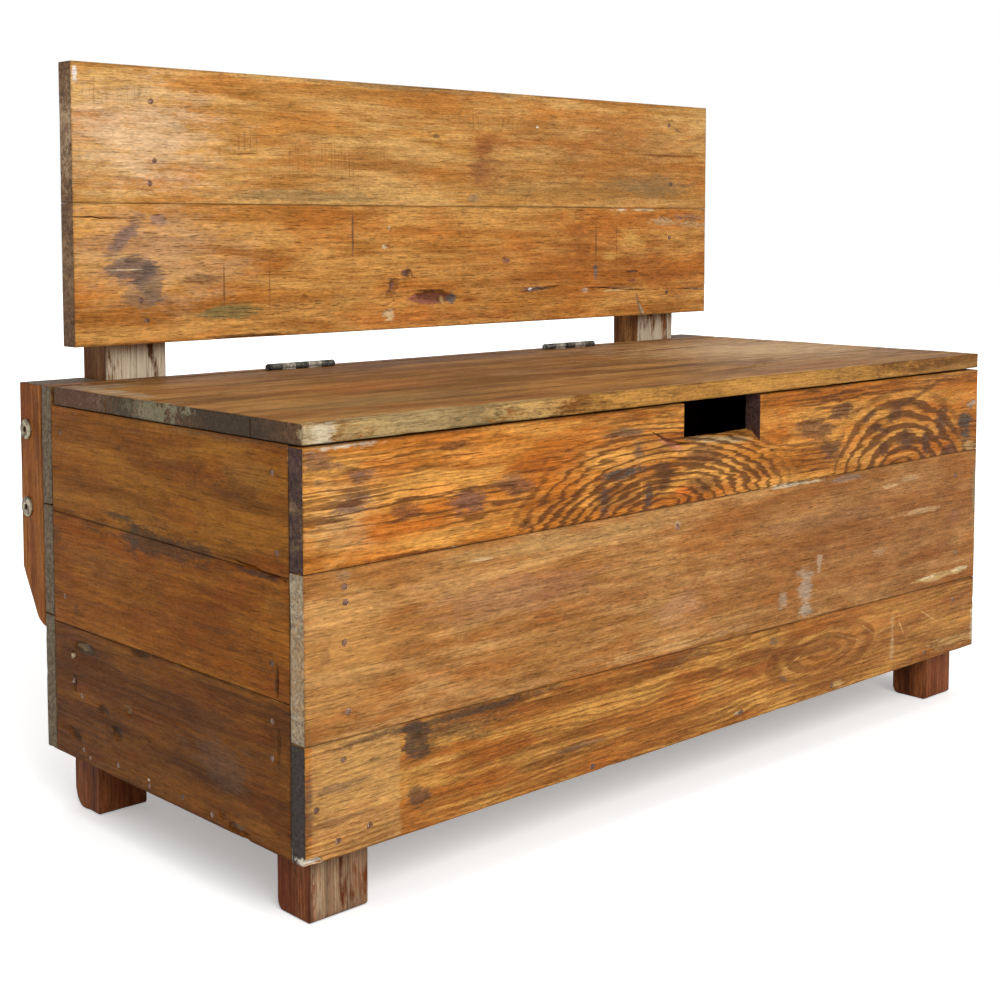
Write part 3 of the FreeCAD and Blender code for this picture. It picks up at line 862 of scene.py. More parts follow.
front_face = Side("xzy", front_y, -1)
left_face = Side("yzx", left_x, -1)
right_face = Side("yzx", right_x, 1)
lid_face = Side("xyz", lid_top, 1)
rest_face = Side("xzy", rest_front_y, -1)


# Nails. Each list gives the places of the heads on a face, along and across it.
front_post_nails = [
    (-394.7, 238.2),
    (-393.8, 227.3),
    (-395.0, 199.6),
    (-392.3, 150.7),
    (-396.7, 117.8),
    (-420.0, 87.7),
    (-373.5, 65.4),
    (417.1, 298.5),
    (391.0, 231.0),
    (393.5, 152.0),
    (390.0, 104.0),
]
front_floor_nails = [(-401.5, 61.5), (-145.4, 54.4), (45.0, 59.0), (180.6, 55.6), (339.2, 57.8)]
front_middle_nails = [(-43.5, 234.8)]
side_post_nails = [
    (-163.0, 317.0),
    (-168.0, 262.0),
    (-161.0, 184.0),
    (-161.0, 143.0),
    (-160.0, 117.0),
    (130.0, 317.0),
    (129.0, 247.0),
    (127.0, 182.0),
    (115.0, 115.0),
    (101.5, 104.5),
]
side_floor_nails = [(-85.0, 57.0), (-46.0, 60.0), (1.0, 56.0), (47.0, 61.0), (90.0, 56.0), (101.0, 60.0)]
rest_nails = [
    (-334.0, 589.0),
    (-331.0, 539.0),
    (-336.0, 520.0),
    (-346.0, 421.0),
    (-340.0, 404.0),
    (338.0, 596.0),
    (342.0, 530.0),
    (340.0, 470.0),
    (336.0, 408.0),
]
nail_head_radius = 2.8
nail_depth = 0.45
nail_reach = 12.0
nail_sides = 12
nail_sizes = (0.82, 1.15)
nail_lean = 0.12
nail_raggedness = 0.09

# A nail from its head down: shares of the head's radius, and how far out of the face each one lies
nail_rows = ((0.35, 0.0), (0.75, -0.06), (1.0, -0.3), (0.97, -0.75), (0.5, -0.9), (0.5, -nail_reach))

# The dent round a nail, and how far from a board's edge a nail belongs to that board
dent_reach = (2.9, 2.8)
dent_depth = nail_depth + 1.0
nail_margin = 4


def nail_mesh(side, at, dice):
    """A nail with a small domed head that the hammer has dented."""
    radius = nail_head_radius * dice.uniform(*nail_sizes)
    lean = dice.uniform(-nail_lean, nail_lean, 2)
    rim = 1 + nail_raggedness * dice.uniform(-1, 1, nail_sides)
    rings = []
    for share, out in nail_rows:
        ring = []
        for step in range(nail_sides):
            angle = 2 * math.pi * step / nail_sides
            x = radius * share * rim[step] * math.cos(angle)
            y = radius * share * rim[step] * math.sin(angle)
            dip = lean[0] * x + lean[1] * y
            ring.append(side.world(at[0] + x, at[1] + y, -nail_depth + out + dip))
        rings.append(ring)
    return rings_to_mesh(rings)


def add_nails(name, nodes, marks, material, seed):
    """One piece of nails: marks lists (side, place)."""
    dice = np.random.default_rng(seed)
    piece = add_mesh(name, *join_meshes([nail_mesh(side, at, dice) for side, at in marks]))
    facing_out(piece.data)
    piece.data.set_sharp_from_angle(angle=smooth_angle)
    finish(piece, material, "nail_metal", nodes=nodes)


def gouges(side, places, dice):
    """Hollows with ragged rims. Each place gives where it is, its reach, its depth and its turn."""
    hollows = []
    for at, reach, depth, turn in places:
        hollows.append(pit(side, at, reach, depth, dice, math.radians(turn), gouge_corners))
    return hollows


def nail_pits(side, places, span, dice):
    """The dents that the nails on one board sit in: those whose height is within the span."""
    low, high = span
    inside = [at for at in places if low + nail_margin < at[1] < high - nail_margin]
    return [pit(side, at, dent_reach, dent_depth, dice) for at in inside]


def board(
    name,
    grain,
    material,
    slot,
    body="bench",
    cutters=(),
    seed=0,
    along=None,
    across=None,
    through=None,
    **worn,
):
    """A worn board that stands for the node of its name. A range that isn't given is the node's own."""
    ranges = [given or limits(name, axis) for given, axis in zip((along, across, through), grain)]
    piece = plank(name, grain, *ranges, seed, **worn)
    cut_away(piece, list(cutters))
    finish(piece, material, slot, body, [name])


def wandering_crack(side, given, dice):
    start, end, count, sway, width, depth = given
    return crack(side, wandering(start, end, count, sway, dice), width, depth, dice)


def front_boards():
    low = [panel_bottom + height for height in front_low_joint]
    high = [panel_bottom + height for height in front_high_joint]
    spans = {
        "bottom": sloped((panel_bottom, low[0]), (panel_bottom, low[1])),
        "middle": sloped((low[0], high[0]), (low[1], high[1])),
        "top": sloped((high[0], panel_top), (high[1], panel_top)),
    }
    dice = np.random.default_rng(4)
    nails = front_post_nails + front_floor_nails + front_middle_nails
    cutters = {name: nail_pits(front_face, nails, span(0.5), dice) for name, span in spans.items()}
    cutters["top"] += notch_cutters(dice)
    cutters["top"] += gouges(front_face, front_chips, dice)
    cutters["middle"] += gouges(front_face, front_chips, dice)
    cutters["bottom"] += gouges(front_face, front_corner_chips, dice)
    same = {"along": (left_x, right_x), "through": limits("front_board_top", "y")}
    for seed, name in enumerate(spans):
        node = "front_board_" + name
        material = front_woods[name]
        cuts = cutters[name]
        board(node, "xzy", material, "front_boards", "bench", cuts, seed, across=spans[name], **same)


def notch_cutters(dice):
    """The hand notch, with a hewn lower lip that falls away to the right, and the split beside it."""
    steps = 10
    rings = []
    for out, inward in ((3.0, 0.0), (0.2, 0.0), (-4.0, 0.45), (-10.0, 1.0), (-19.0, 1.0)):
        outline = [(notch_left, panel_top + 2.0)]
        for step in range(steps + 1):
            share = step / steps
            along = notch_left + (notch_right - notch_left) * share
            front_lip = lip_left + (lip_right - lip_left) * share**1.4
            lip = front_lip + (lip_back - front_lip) * inward + dice.uniform(-0.6, 0.6)
            outline.append((along, lip))
        outline.append((notch_right, panel_top + 2.0))
        rings.append([front_face.world(along, across, out) for along, across in outline])
    return [rings_to_mesh(rings), crack(front_face, notch_split, *notch_split_size, dice)]


def side_boards(name, face, woods, seed):
    low_joint = limits(name + "_side_board_bottom", "z")[1]
    high = [panel_bottom + height for height in side_high_joint]
    spans = {
        "bottom": (panel_bottom, low_joint),
        "middle": sloped((low_joint, high[0]), (low_joint, high[1])),
        "top": sloped((high[0], side_top), (high[1], side_top)),
    }
    same = {"along": (side_front_y, side_back_y), "through": limits(name + "_side_board_top", "x")}
    dice = np.random.default_rng(seed)
    for place, (key, span) in enumerate(spans.items()):
        node = name + "_side_board_" + key
        low, high_edge = span(0.5) if callable(span) else span
        cutters = nail_pits(face, side_post_nails + side_floor_nails, (low, high_edge), dice)
        if name == "left":
            inside = [gouge for gouge in side_gouges if low - 3 < gouge[0][1] < high_edge + 3]
            cutters += gouges(face, inside, dice)
            if key != "bottom":
                cutters.append(wandering_crack(face, side_crack, dice))
        board(node, "yzx", woods[key], "side_boards", "bench", cutters, seed + place, across=span, **same)


def back_boards():
    for seed, name in enumerate(("bottom", "middle", "top")):
        board("back_board_" + name, "xzy", back_wood, "back_boards", seed=seed + 20)


def lid_boards():
    split = wandering_crack(lid_face, lid_crack, np.random.default_rng(6))
    for seed, name in enumerate(("front", "middle", "rear")):
        cutters = [split] if name != "rear" else ()
        board("lid_board_" + name, "xyz", lid_woods[name], "lid_boards", "lid", cutters, seed + 30)
    for seed, name in enumerate(("left", "right")):
        board("lid_batten_" + name, "yxz", batten_wood, "battens", "lid", seed=seed + 36)


def backrest_boards():
    dice = np.random.default_rng(8)
    low, high = limits("backrest_board_lower", "z")[0], limits("backrest_board_upper", "z")[1]
    joint = limits("backrest_board_upper", "z")[0]
    cracks = [wandering_crack(rest_face, given, dice) for given in rest_cracks]
    for seed, (name, span) in enumerate((("lower", (low, joint)), ("upper", (joint, high)))):
        node = "backrest_board_" + name
        cutters = nail_pits(rest_face, rest_nails, span, dice)
        if name == "lower":
            cutters += cracks + gouges(rest_face, rest_gouges, dice)
        worn = {"seed": seed + 40, "across": span, "tight": rest_edge_wear}
        board(node, "xzy", rest_woods[name], "backrest", "bench", cutters, **worn)


def foot_depths(front, back, heel, height):
    """A corner post's front and back at each share of its height, rounded at the toe and the heel."""
    def at(share):
        up = np.asarray(share) * height
        toe_in = toe_round - np.sqrt(np.maximum(toe_round**2 - np.maximum(toe_round - up, 0) ** 2, 0))
        heel_in = heel - np.sqrt(np.maximum(heel**2 - np.maximum(heel - up, 0) ** 2, 0))
        return front + toe_in, back - heel_in

    return at


def corner_posts():
    for seed, name in enumerate(("front_left", "front_right", "rear_left", "rear_right")):
        node = "corner_post_" + name
        front, back = limits(node, "y")
        bottom, top = limits(node, "z")
        heel = front_heel_round if name.startswith("front") else rear_heel_round
        depths = foot_depths(front, back, heel, top - bottom)
        worn = {"ease": post_arris, "chip": post_chip}
        board(node, "zxy", foot_woods[name], "posts", seed=seed + 50, through=depths, **worn)


def taper_depths(front, bottom, height):
    """Front and back of a tapered upright at each share of its height."""
    heights = [corner[0] for corner in taper_corners]
    depths = [corner[1] for corner in taper_corners]

    def at(share):
        up = bottom + np.asarray(share) * height
        return front + 0 * up, front + np.interp(up, heights, depths)

    return at


def uprights():
    kinds = (("end_block_", block_wood), ("backrest_post_", post_wood))
    for seed, ((part, material), side) in enumerate(itertools.product(kinds, ("left", "right"))):
        node = part + side
        bottom, top = limits(node, "z")
        depths = taper_depths(limits(node, "y")[0], bottom, top - bottom)
        board(node, "zxy", material, "backrest_posts", seed=seed + 60, through=depths, ease=upright_arris)


def nails():
    front = [(front_face, at) for at in front_post_nails + front_middle_nails]
    add_nails("front_nail_heads", ["front_nails"], front, iron, 71)
    for name, face, seed in (("left", left_face, 72), ("right", right_face, 73)):
        marks = [(face, at) for at in side_post_nails]
        add_nails(name + "_nail_heads", [name + "_side_nails"], marks, iron, seed)
    add_nails("backrest_nail_heads", ["backrest_nails"], [(rest_face, at) for at in rest_nails], iron, 74)
    floor = [(front_face, at) for at in front_floor_nails]
    floor += [(face, at) for face in (left_face, right_face) for at in side_floor_nails]
    add_nails("floor_nail_heads", ["floor_nails"], floor, iron, 75)


def dress(nodes, material):
    """Gives a carried node its material."""
    for node in nodes:
        for place in bpy.data.objects[node].material_slots:
            place.material = material


# Chips and gouges: where each is along and across its face, its reach, its depth and its turn.
front_chips = [
    ((72 + 9.5 * step, 253.4 + 0.5 * (step % 3)), (5.0 + step % 3, 1.6), 1.3, 6.0 * (step % 2) - 3.0)
    for step in range(12)
]
front_chips += [((135, 246), (13, 2.6), 1.0, 4.0), ((203, 247.5), (22, 1.8), 0.8, 0.0)]
front_corner_chips = [
    ((-426, 51.5), (12, 4.5), 3.0, 0.0),
    ((42, 58.5), (7, 1.6), 1.2, 0.0),
    ((-331, 116), (9, 7), 0.6, 20.0),
]
side_gouges = [
    ((100, 146), (13, 5.0), 1.8, -8.0),
    ((113, 137), (4.5, 3.2), 1.6, 0.0),
    ((29, 108), (5.5, 4.5), 1.6, 20.0),
    ((48, 86), (8.5, 5.5), 2.2, 20.0),
    ((67, 100), (11, 4.5), 1.3, 10.0),
    ((113, 71), (13, 4.5), 2.0, 14.0),
    ((113, 113), (4.0, 8.0), 1.8, 0.0),
    ((12, 157.5), (17, 3.2), 2.2, -4.0),
    ((-167, 172), (2.6, 13.0), 1.4, 4.0),
    ((-168, 128), (3.2, 15.0), 1.2, 0.0),
    ((-112, 55), (9, 4.5), 2.4, 0.0),
    ((-128, 53), (8, 4.0), 2.2, 0.0),
    ((-98, 60), (6, 4.0), 1.6, 10.0),
]
rest_gouges = [
    ((-13, 413.5), (29, 6.8), 3.6, -2.0),
    ((-66, 427), (8, 6.5), 2.0, 20.0),
    ((-72, 414), (5, 9), 1.8, 8.0),
    ((-75, 399), (6, 5), 1.6, 0.0),
    ((-48, 437), (5, 5), 2.2, 0.0),
    ((-76, 463), (4.5, 3.2), 1.6, 10.0),
    ((-71, 480), (2.6, 2.6), 1.4, 0.0),
    ((80, 449), (3.6, 2.6), 1.4, 0.0),
    ((278, 433), (11, 1.6), 1.4, 0.0),
    ((-240, 384), (46, 2.2), 3.0, 1.0),
    ((352, 490), (13, 4.0), 1.6, 4.0),
    ((378, 489), (14, 4.2), 1.4, -3.0),
    ((330, 493), (8, 3.0), 1.2, 0.0),
    ((-174, 417), (5, 4.5), 1.3, 0.0),
    ((-252, 419), (5, 3.0), 1.2, 0.0),
    ((290, 398), (3.2, 13), 1.2, 26.0),
]

# Marks and stains on the boards, place by place, with a few broad patches of painted shade and painted
# highlight among them. Along and across the board, in millimetres.
purple = (104, 76, 68)
ink = (74, 68, 64)
amber = (222, 146, 66)
soot = (70, 52, 46)
front_top_marks = [
    stain_and_painted_light((196, 160, 108), (-398, 286), (40, 40), 0.55, soft=0.9),
    stain_and_painted_light(purple, (-415, 325), (24, 9), 0.7, ragged=1.8),
    stain_and_painted_light(purple, (-384, 314), (15, 7), 0.85, soft=0.7),
    stain_and_painted_light((112, 84, 74), (-393, 293), (20, 8), 0.8, ragged=2.4),
    stain_and_painted_light((204, 190, 164), (-393, 335), (26, 3.4), 0.85, ragged=1.8),
    stain_and_painted_light((104, 56, 30), (-293, 326), (20, 3.6), 0.8, turn=5),
    stain_and_painted_light((120, 66, 34), (-287, 319), (24, 2.6), 0.75, turn=-2),
    stain_and_painted_light((126, 78, 50), (-341, 285), (15, 6), 0.75, ragged=1.8),
    stain_and_painted_light(purple, (-279, 284), (22, 11), 0.8, ragged=1.6),
    stain_and_painted_light((122, 84, 66), (-232, 290), (24, 10), 0.65, ragged=1.8),
    stain_and_painted_light((104, 54, 22), (-345, 253), (52, 2.8), 0.8, turn=-1),
    stain_and_painted_light((96, 56, 34), (-221, 258), (14, 4), 0.8, turn=-8),
    stain_and_painted_light(amber, (-312, 297), (34, 6), 0.7),
    stain_and_painted_light(amber, (-262, 318), (60, 8), 0.6),
    stain_and_painted_light(amber, (-152, 278), (14, 22), 0.65),
    stain_and_painted_light((96, 60, 36), (-108, 268), (34, 20), 0.55, soft=0.9),
    stain_and_painted_light((96, 86, 74), (-107, 319), (30, 5), 0.8, soft=0.7, ragged=1.0),
    stain_and_painted_light((88, 76, 66), (-93, 303), (9, 13), 0.8, soft=0.8),
    stain_and_painted_light((58, 66, 64), (-111, 286), (32, 6.5), 0.92, soft=0.55, ragged=1.0, turn=4),
    stain_and_painted_light(ink, (-133, 268), (9, 18), 0.85, soft=0.8),
    stain_and_painted_light((224, 150, 74), (-89, 270), (2.2, 14), 0.8, ragged=0.8),
    stain_and_painted_light(ink, (-80, 267), (8, 17), 0.9, soft=0.7),
    stain_and_painted_light((84, 60, 46), (-61, 281), (14, 20), 0.8, ragged=1.5),
    stain_and_painted_light((96, 66, 44), (-12, 291), (34, 11), 0.75, ragged=1.6),
    stain_and_painted_light((96, 66, 40), (-10, 267), (30, 10), 0.65, ragged=1.7),
    stain_and_painted_light((216, 118, 46), (-38, 264), (15, 6), 0.85, ragged=1.6),
    stain_and_painted_light((202, 128, 96), (-54, 305.5), (22, 3.6), 0.9, turn=-22, ragged=0.8),
    stain_and_painted_light((190, 164, 122), (18, 302), (54, 3.6), 0.85, turn=-5, ragged=1.0),
    stain_and_painted_light((96, 66, 50), (189, 312), (27, 8), 0.85, ragged=1.7),
    stain_and_painted_light((100, 70, 52), (152, 301), (34, 11), 0.75, ragged=1.8),
    stain_and_painted_light((88, 62, 50), (176, 278), (24, 12), 0.8, ragged=1.6),
    stain_and_painted_light(amber, (205, 285), (20, 18), 0.5, ragged=1.6),
    stain_and_painted_light(soot, (232, 302), (18, 5), 0.85, ragged=1.4, turn=24),
    stain_and_painted_light(soot, (250, 291), (30, 5), 0.85, ragged=1.4, turn=-14),
    stain_and_painted_light(soot, (280, 304), (15, 10), 0.8, ragged=1.5),
    stain_and_painted_light(soot, (260, 272), (11, 8), 0.85, ragged=1.5),
    stain_and_painted_light((76, 62, 54), (297, 278), (18, 11), 0.85, ragged=1.5),
    stain_and_painted_light(soot, (334, 273), (10, 18), 0.88, ragged=1.4),
    stain_and_painted_light(soot, (361, 288), (15, 20), 0.85, ragged=1.4, turn=-10),
    stain_and_painted_light(soot, (378, 260), (16, 11), 0.85, ragged=1.4),
    stain_and_painted_light((66, 68, 64), (407, 284), (17, 20), 0.9, ragged=1.4),
    stain_and_painted_light((172, 164, 144), (418, 302), (10, 5), 0.7, ragged=2.0),
    stain_and_painted_light((206, 168, 110), (419, 258), (18, 7), 0.8, ragged=1.4),
    stain_and_painted_light((88, 56, 34), (330, 322), (60, 3.0), 0.7, turn=16),
    stain_and_painted_light((224, 206, 170), (116, 253.5), (44, 1.5), 0.8, ragged=1.6),
]
front_middle_marks_and_painted_shade = [
    # Painted shade: the right part of this board darkened, as the light falls off towards the right.
    stain_and_painted_light((142, 88, 46), (270, 190), (400, 120), 0.75, soft=1.0, ragged=0.8),
    stain_and_painted_light((192, 142, 80), (-396, 190), (56, 62), 0.45),
    stain_and_painted_light((160, 114, 82), (-230, 206), (115, 18), 0.5),
    stain_and_painted_light((150, 92, 46), (-100, 187), (105, 13), 0.55),
    stain_and_painted_light((116, 62, 26), (-195, 186), (22, 3.2), 0.65),
    stain_and_painted_light((148, 94, 46), (-18, 208), (40, 26), 0.4),
    stain_and_painted_light((184, 136, 98), (-38, 164), (40, 15), 0.55),
    stain_and_painted_light((204, 160, 104), (-40, 134), (134, 5), 0.55),
    stain_and_painted_light((148, 120, 72), (-180, 242), (130, 8), 0.35),
    stain_and_painted_light((224, 206, 170), (118, 252), (48, 2.0), 0.8, ragged=1.4),
    stain_and_painted_light((150, 130, 112), (203, 249), (32, 3.4), 0.6, ragged=2.0),
    stain_and_painted_light((218, 184, 134), (-266, 239), (13, 1.6), 0.7),
    stain_and_painted_light((138, 84, 42), (85, 192), (72, 7), 0.5),
    stain_and_painted_light((144, 88, 42), (235, 157), (60, 8), 0.6),
    stain_and_painted_light((142, 84, 40), (345, 160), (48, 10), 0.65),
    stain_and_painted_light((152, 110, 74), (180, 214), (110, 9), 0.45),
    stain_and_painted_light((210, 176, 132), (272, 234), (14, 3.4), 0.65, ragged=1.8),
    stain_and_painted_light((206, 168, 122), (310, 238), (17, 4), 0.5, ragged=1.8),
    stain_and_painted_light((208, 170, 122), (330, 203), (68, 3.6), 0.6, ragged=1.8),
    stain_and_painted_light((204, 166, 126), (256, 173), (15, 5), 0.4, ragged=1.8),
    stain_and_painted_light((178, 156, 130), (104, 150), (9, 11), 0.75, ragged=1.5),
    stain_and_painted_light((176, 154, 130), (137, 154), (15, 20), 0.8, ragged=1.5),
    stain_and_painted_light((184, 168, 144), (137, 136), (12, 8), 0.65, ragged=1.6),
    stain_and_painted_light((186, 162, 132), (158, 175), (5, 10), 0.7, ragged=1.5),
    stain_and_painted_light((214, 176, 116), (366, 133), (52, 4), 0.8, ragged=1.6),
    stain_and_painted_light((232, 212, 168), (345, 133.5), (18, 1.8), 0.8, ragged=1.6),
    stain_and_painted_light((232, 212, 168), (398, 134), (20, 1.8), 0.7, ragged=1.6),
    stain_and_painted_light((142, 132, 104), (427, 212), (5, 42), 0.65),
    stain_and_painted_light((150, 98, 80), (392, 190), (12, 10), 0.35),
    stain_and_painted_light((196, 170, 138), (-43.5, 236), (6, 4), 0.6, ragged=1.4),
    stain_and_painted_light((112, 76, 50), (-412, 194), (5, 12), 0.4, ragged=2.0),
    stain_and_painted_light((160, 128, 96), (-395, 246), (7, 5), 0.5),
]
front_bottom_marks = [
    stain_and_painted_light((178, 120, 66), (300, 90), (330, 80), 0.45, soft=1.0, ragged=0.8),
    stain_and_painted_light((188, 146, 90), (-385, 88), (41, 52), 0.6, soft=0.06, ragged=0.12, square=1.0),
    stain_and_painted_light((96, 78, 64), (-395, 100), (38, 4), 0.55, ragged=1.8),
    stain_and_painted_light((104, 84, 66), (-398, 76), (34, 3), 0.45, ragged=1.8),
    stain_and_painted_light((66, 60, 56), (-427, 90), (5, 40), 0.6),
    stain_and_painted_light((66, 56, 48), (-331, 116), (14, 17), 0.85, soft=0.3, square=0.6),
    stain_and_painted_light((70, 60, 50), (-329, 75), (14, 11), 0.75, soft=0.4, square=0.3),
    stain_and_painted_light((60, 50, 42), (-300, 127.5), (135, 5), 0.8),
    stain_and_painted_light((82, 62, 44), (-288, 117), (56, 12), 0.7, ragged=1.8),
    stain_and_painted_light((214, 158, 84), (-312, 97), (30, 3.4), 0.7, ragged=1.6),
    stain_and_painted_light((112, 64, 28), (-232, 84), (74, 4), 0.55, ragged=1.6),
    stain_and_painted_light((106, 84, 66), (-160, 75), (62, 3), 0.65, ragged=1.6),
    stain_and_painted_light((104, 74, 48), (-36, 122), (38, 9), 0.65, ragged=1.6),
    stain_and_painted_light((142, 74, 34), (70, 93), (34, 8), 0.6),
    stain_and_painted_light((88, 98, 98), (90, 115), (8, 4), 0.6),
    stain_and_painted_light((88, 94, 94), (105, 77), (8, 3), 0.6, turn=-30),
    stain_and_painted_light((96, 92, 84), (120, 68), (10, 3), 0.4),
    stain_and_painted_light((228, 176, 110), (206, 97), (28, 1.1), 0.75, turn=-18),
    stain_and_painted_light((228, 176, 110), (238, 99), (16, 1.0), 0.7, turn=-32),
    stain_and_painted_light((228, 176, 110), (296, 91), (11, 1.0), 0.7, turn=-58),
    stain_and_painted_light((228, 176, 110), (342, 96), (20, 1.1), 0.75, turn=-28),
    stain_and_painted_light((224, 170, 102), (120, 90), (20, 1.1), 0.6, turn=20),
    stain_and_painted_light((224, 170, 102), (180, 79), (24, 1.1), 0.6, turn=12),
    stain_and_painted_light((208, 176, 128), (280, 80), (4, 28), 0.55, ragged=1.8),
    stain_and_painted_light((210, 172, 110), (188, 57), (16, 6), 0.65, ragged=1.8),
    stain_and_painted_light((236, 224, 206), (-424, 53), (11, 4), 0.95, ragged=1.5),
    stain_and_painted_light((152, 110, 66), (402, 100), (28, 18), 0.4),
    stain_and_painted_light((200, 162, 100), (380, 61), (48, 8), 0.55, ragged=1.8),
    stain_and_painted_light((218, 202, 168), (428, 72), (4, 24), 0.65, ragged=1.6),
    stain_and_painted_light((226, 206, 170), (42, 59), (8, 2), 0.85),
]
side_marks = [
    stain_and_painted_light((160, 112, 50), (-135, 312), (42, 20), 0.5),
    stain_and_painted_light((96, 58, 26), (-122, 301), (36, 8), 0.6, ragged=1.6),
    stain_and_painted_light((98, 60, 30), (-45, 309), (62, 9), 0.45, ragged=1.6),
    stain_and_painted_light((66, 48, 34), (-20, 247), (104, 15), 0.75, ragged=1.7),
    stain_and_painted_light((58, 60, 48), (38, 260), (34, 3.2), 0.65, ragged=1.5),
    stain_and_painted_light((60, 56, 46), (18, 248), (8, 14), 0.5, ragged=1.6),
    stain_and_painted_light((70, 46, 40), (-148, 244), (36, 3), 0.85),
    stain_and_painted_light((150, 96, 40), (60, 218), (70, 16), 0.5),
    stain_and_painted_light((126, 66, 26), (4, 188), (50, 14), 0.5),
    stain_and_painted_light((90, 56, 26), (-90, 195), (46, 3.4), 0.5, ragged=1.8),
    stain_and_painted_light((158, 104, 44), (-165, 225), (16, 14), 0.5),
    stain_and_painted_light((64, 46, 30), (12, 157), (18, 4), 0.75),
    stain_and_painted_light((104, 66, 34), (108, 174), (5, 9), 0.6),
    stain_and_painted_light((80, 54, 32), (138, 232), (10, 14), 0.6, ragged=1.8),
    stain_and_painted_light((100, 76, 58), (-95, 96), (50, 22), 0.6, ragged=1.5),
    stain_and_painted_light((82, 50, 26), (-40, 128), (90, 12), 0.45),
    stain_and_painted_light((54, 44, 40), (47, 87), (10, 7), 0.85, ragged=1.5, turn=20),
    stain_and_painted_light((62, 56, 48), (68, 101), (15, 6), 0.55),
    stain_and_painted_light((58, 42, 34), (114, 71), (13, 5), 0.75, turn=14),
    stain_and_painted_light((62, 50, 44), (113, 114), (5, 8), 0.7),
    stain_and_painted_light((58, 46, 30), (92, 145), (22, 8), 0.75, ragged=1.7),
    stain_and_painted_light((152, 128, 96), (98, 146), (10, 3), 0.8, ragged=1.8),
    stain_and_painted_light((206, 186, 150), (115, 135), (4.5, 3), 0.85, ragged=1.5),
    stain_and_painted_light((168, 140, 106), (29, 108), (5, 5), 0.6, ragged=2.0),
    stain_and_painted_light((62, 40, 26), (-167, 172), (3, 15), 0.7),
    stain_and_painted_light((76, 48, 28), (-168, 128), (5, 20), 0.5, ragged=1.8),
    stain_and_painted_light((120, 106, 90), (-118, 57), (14, 4), 0.75, ragged=2.0),
    stain_and_painted_light((152, 96, 40), (-140, 62), (36, 8), 0.5),
    stain_and_painted_light((240, 230, 210), (1, 61), (2.6, 1.6), 0.95),
    stain_and_painted_light((92, 70, 50), (-100, 336), (90, 3), 0.5),
]
lid_marks_and_painted_highlight = [
    # Painted highlight: the right part of the lid paler, a painted reflection of the pale surroundings.
    stain_and_painted_light((206, 172, 126), (310, 0), (250, 170), 0.8, soft=1.0, ragged=0.9),
    stain_and_painted_light((120, 96, 60), (-300, -120), (150, 44), 0.6, soft=1.0),
    stain_and_painted_light((148, 82, 34), (-250, -30), (110, 40), 0.6, soft=0.9),
    stain_and_painted_light((178, 124, 58), (-60, -150), (150, 26), 0.45),
    stain_and_painted_light((178, 160, 134), (-416, 70), (16, 76), 0.55, ragged=1.6),
    stain_and_painted_light((166, 146, 118), (-396, 112), (30, 24), 0.5, ragged=1.6),
    stain_and_painted_light((92, 66, 40), (-300, 56), (70, 12), 0.5, ragged=1.6),
    stain_and_painted_light((172, 134, 94), (-60, -30), (60, 22), 0.35, ragged=1.8),
    stain_and_painted_light((112, 72, 36), (-100, 60), (180, 34), 0.4),
    stain_and_painted_light((78, 52, 30), (326, -100), (74, 1.6), 0.75, ragged=0.5, turn=9.5),
    stain_and_painted_light((96, 68, 40), (300, -60), (90, 1.8), 0.5, ragged=0.8, turn=6),
    stain_and_painted_light((176, 152, 104), (-330, -199), (120, 12), 0.75, ragged=1.5),
    stain_and_painted_light((206, 190, 152), (-418, -200), (18, 6), 0.65, ragged=1.6),
    stain_and_painted_light((218, 206, 176), (-410, -198), (12, 2.4), 0.55, ragged=1.8),
    stain_and_painted_light((112, 96, 64), (-262, -196), (70, 3), 0.6, ragged=1.8),
    stain_and_painted_light((196, 164, 106), (-215, -202), (60, 9), 0.55, ragged=1.8),
    stain_and_painted_light((208, 150, 72), (60, -201), (330, 10), 0.6, ragged=1.2),
    stain_and_painted_light((140, 84, 38), (90, -204), (160, 5), 0.5, ragged=1.8),
    stain_and_painted_light((64, 54, 42), (-430, -110), (3, 70), 0.85, ragged=0.8),
    stain_and_painted_light((150, 142, 112), (-430, -8), (3, 40), 0.75, ragged=3.4),
    stain_and_painted_light((68, 62, 46), (-430, 32), (3, 26), 0.7, ragged=2.0),
    stain_and_painted_light((98, 66, 50), (-430, 100), (3, 44), 0.75),
]
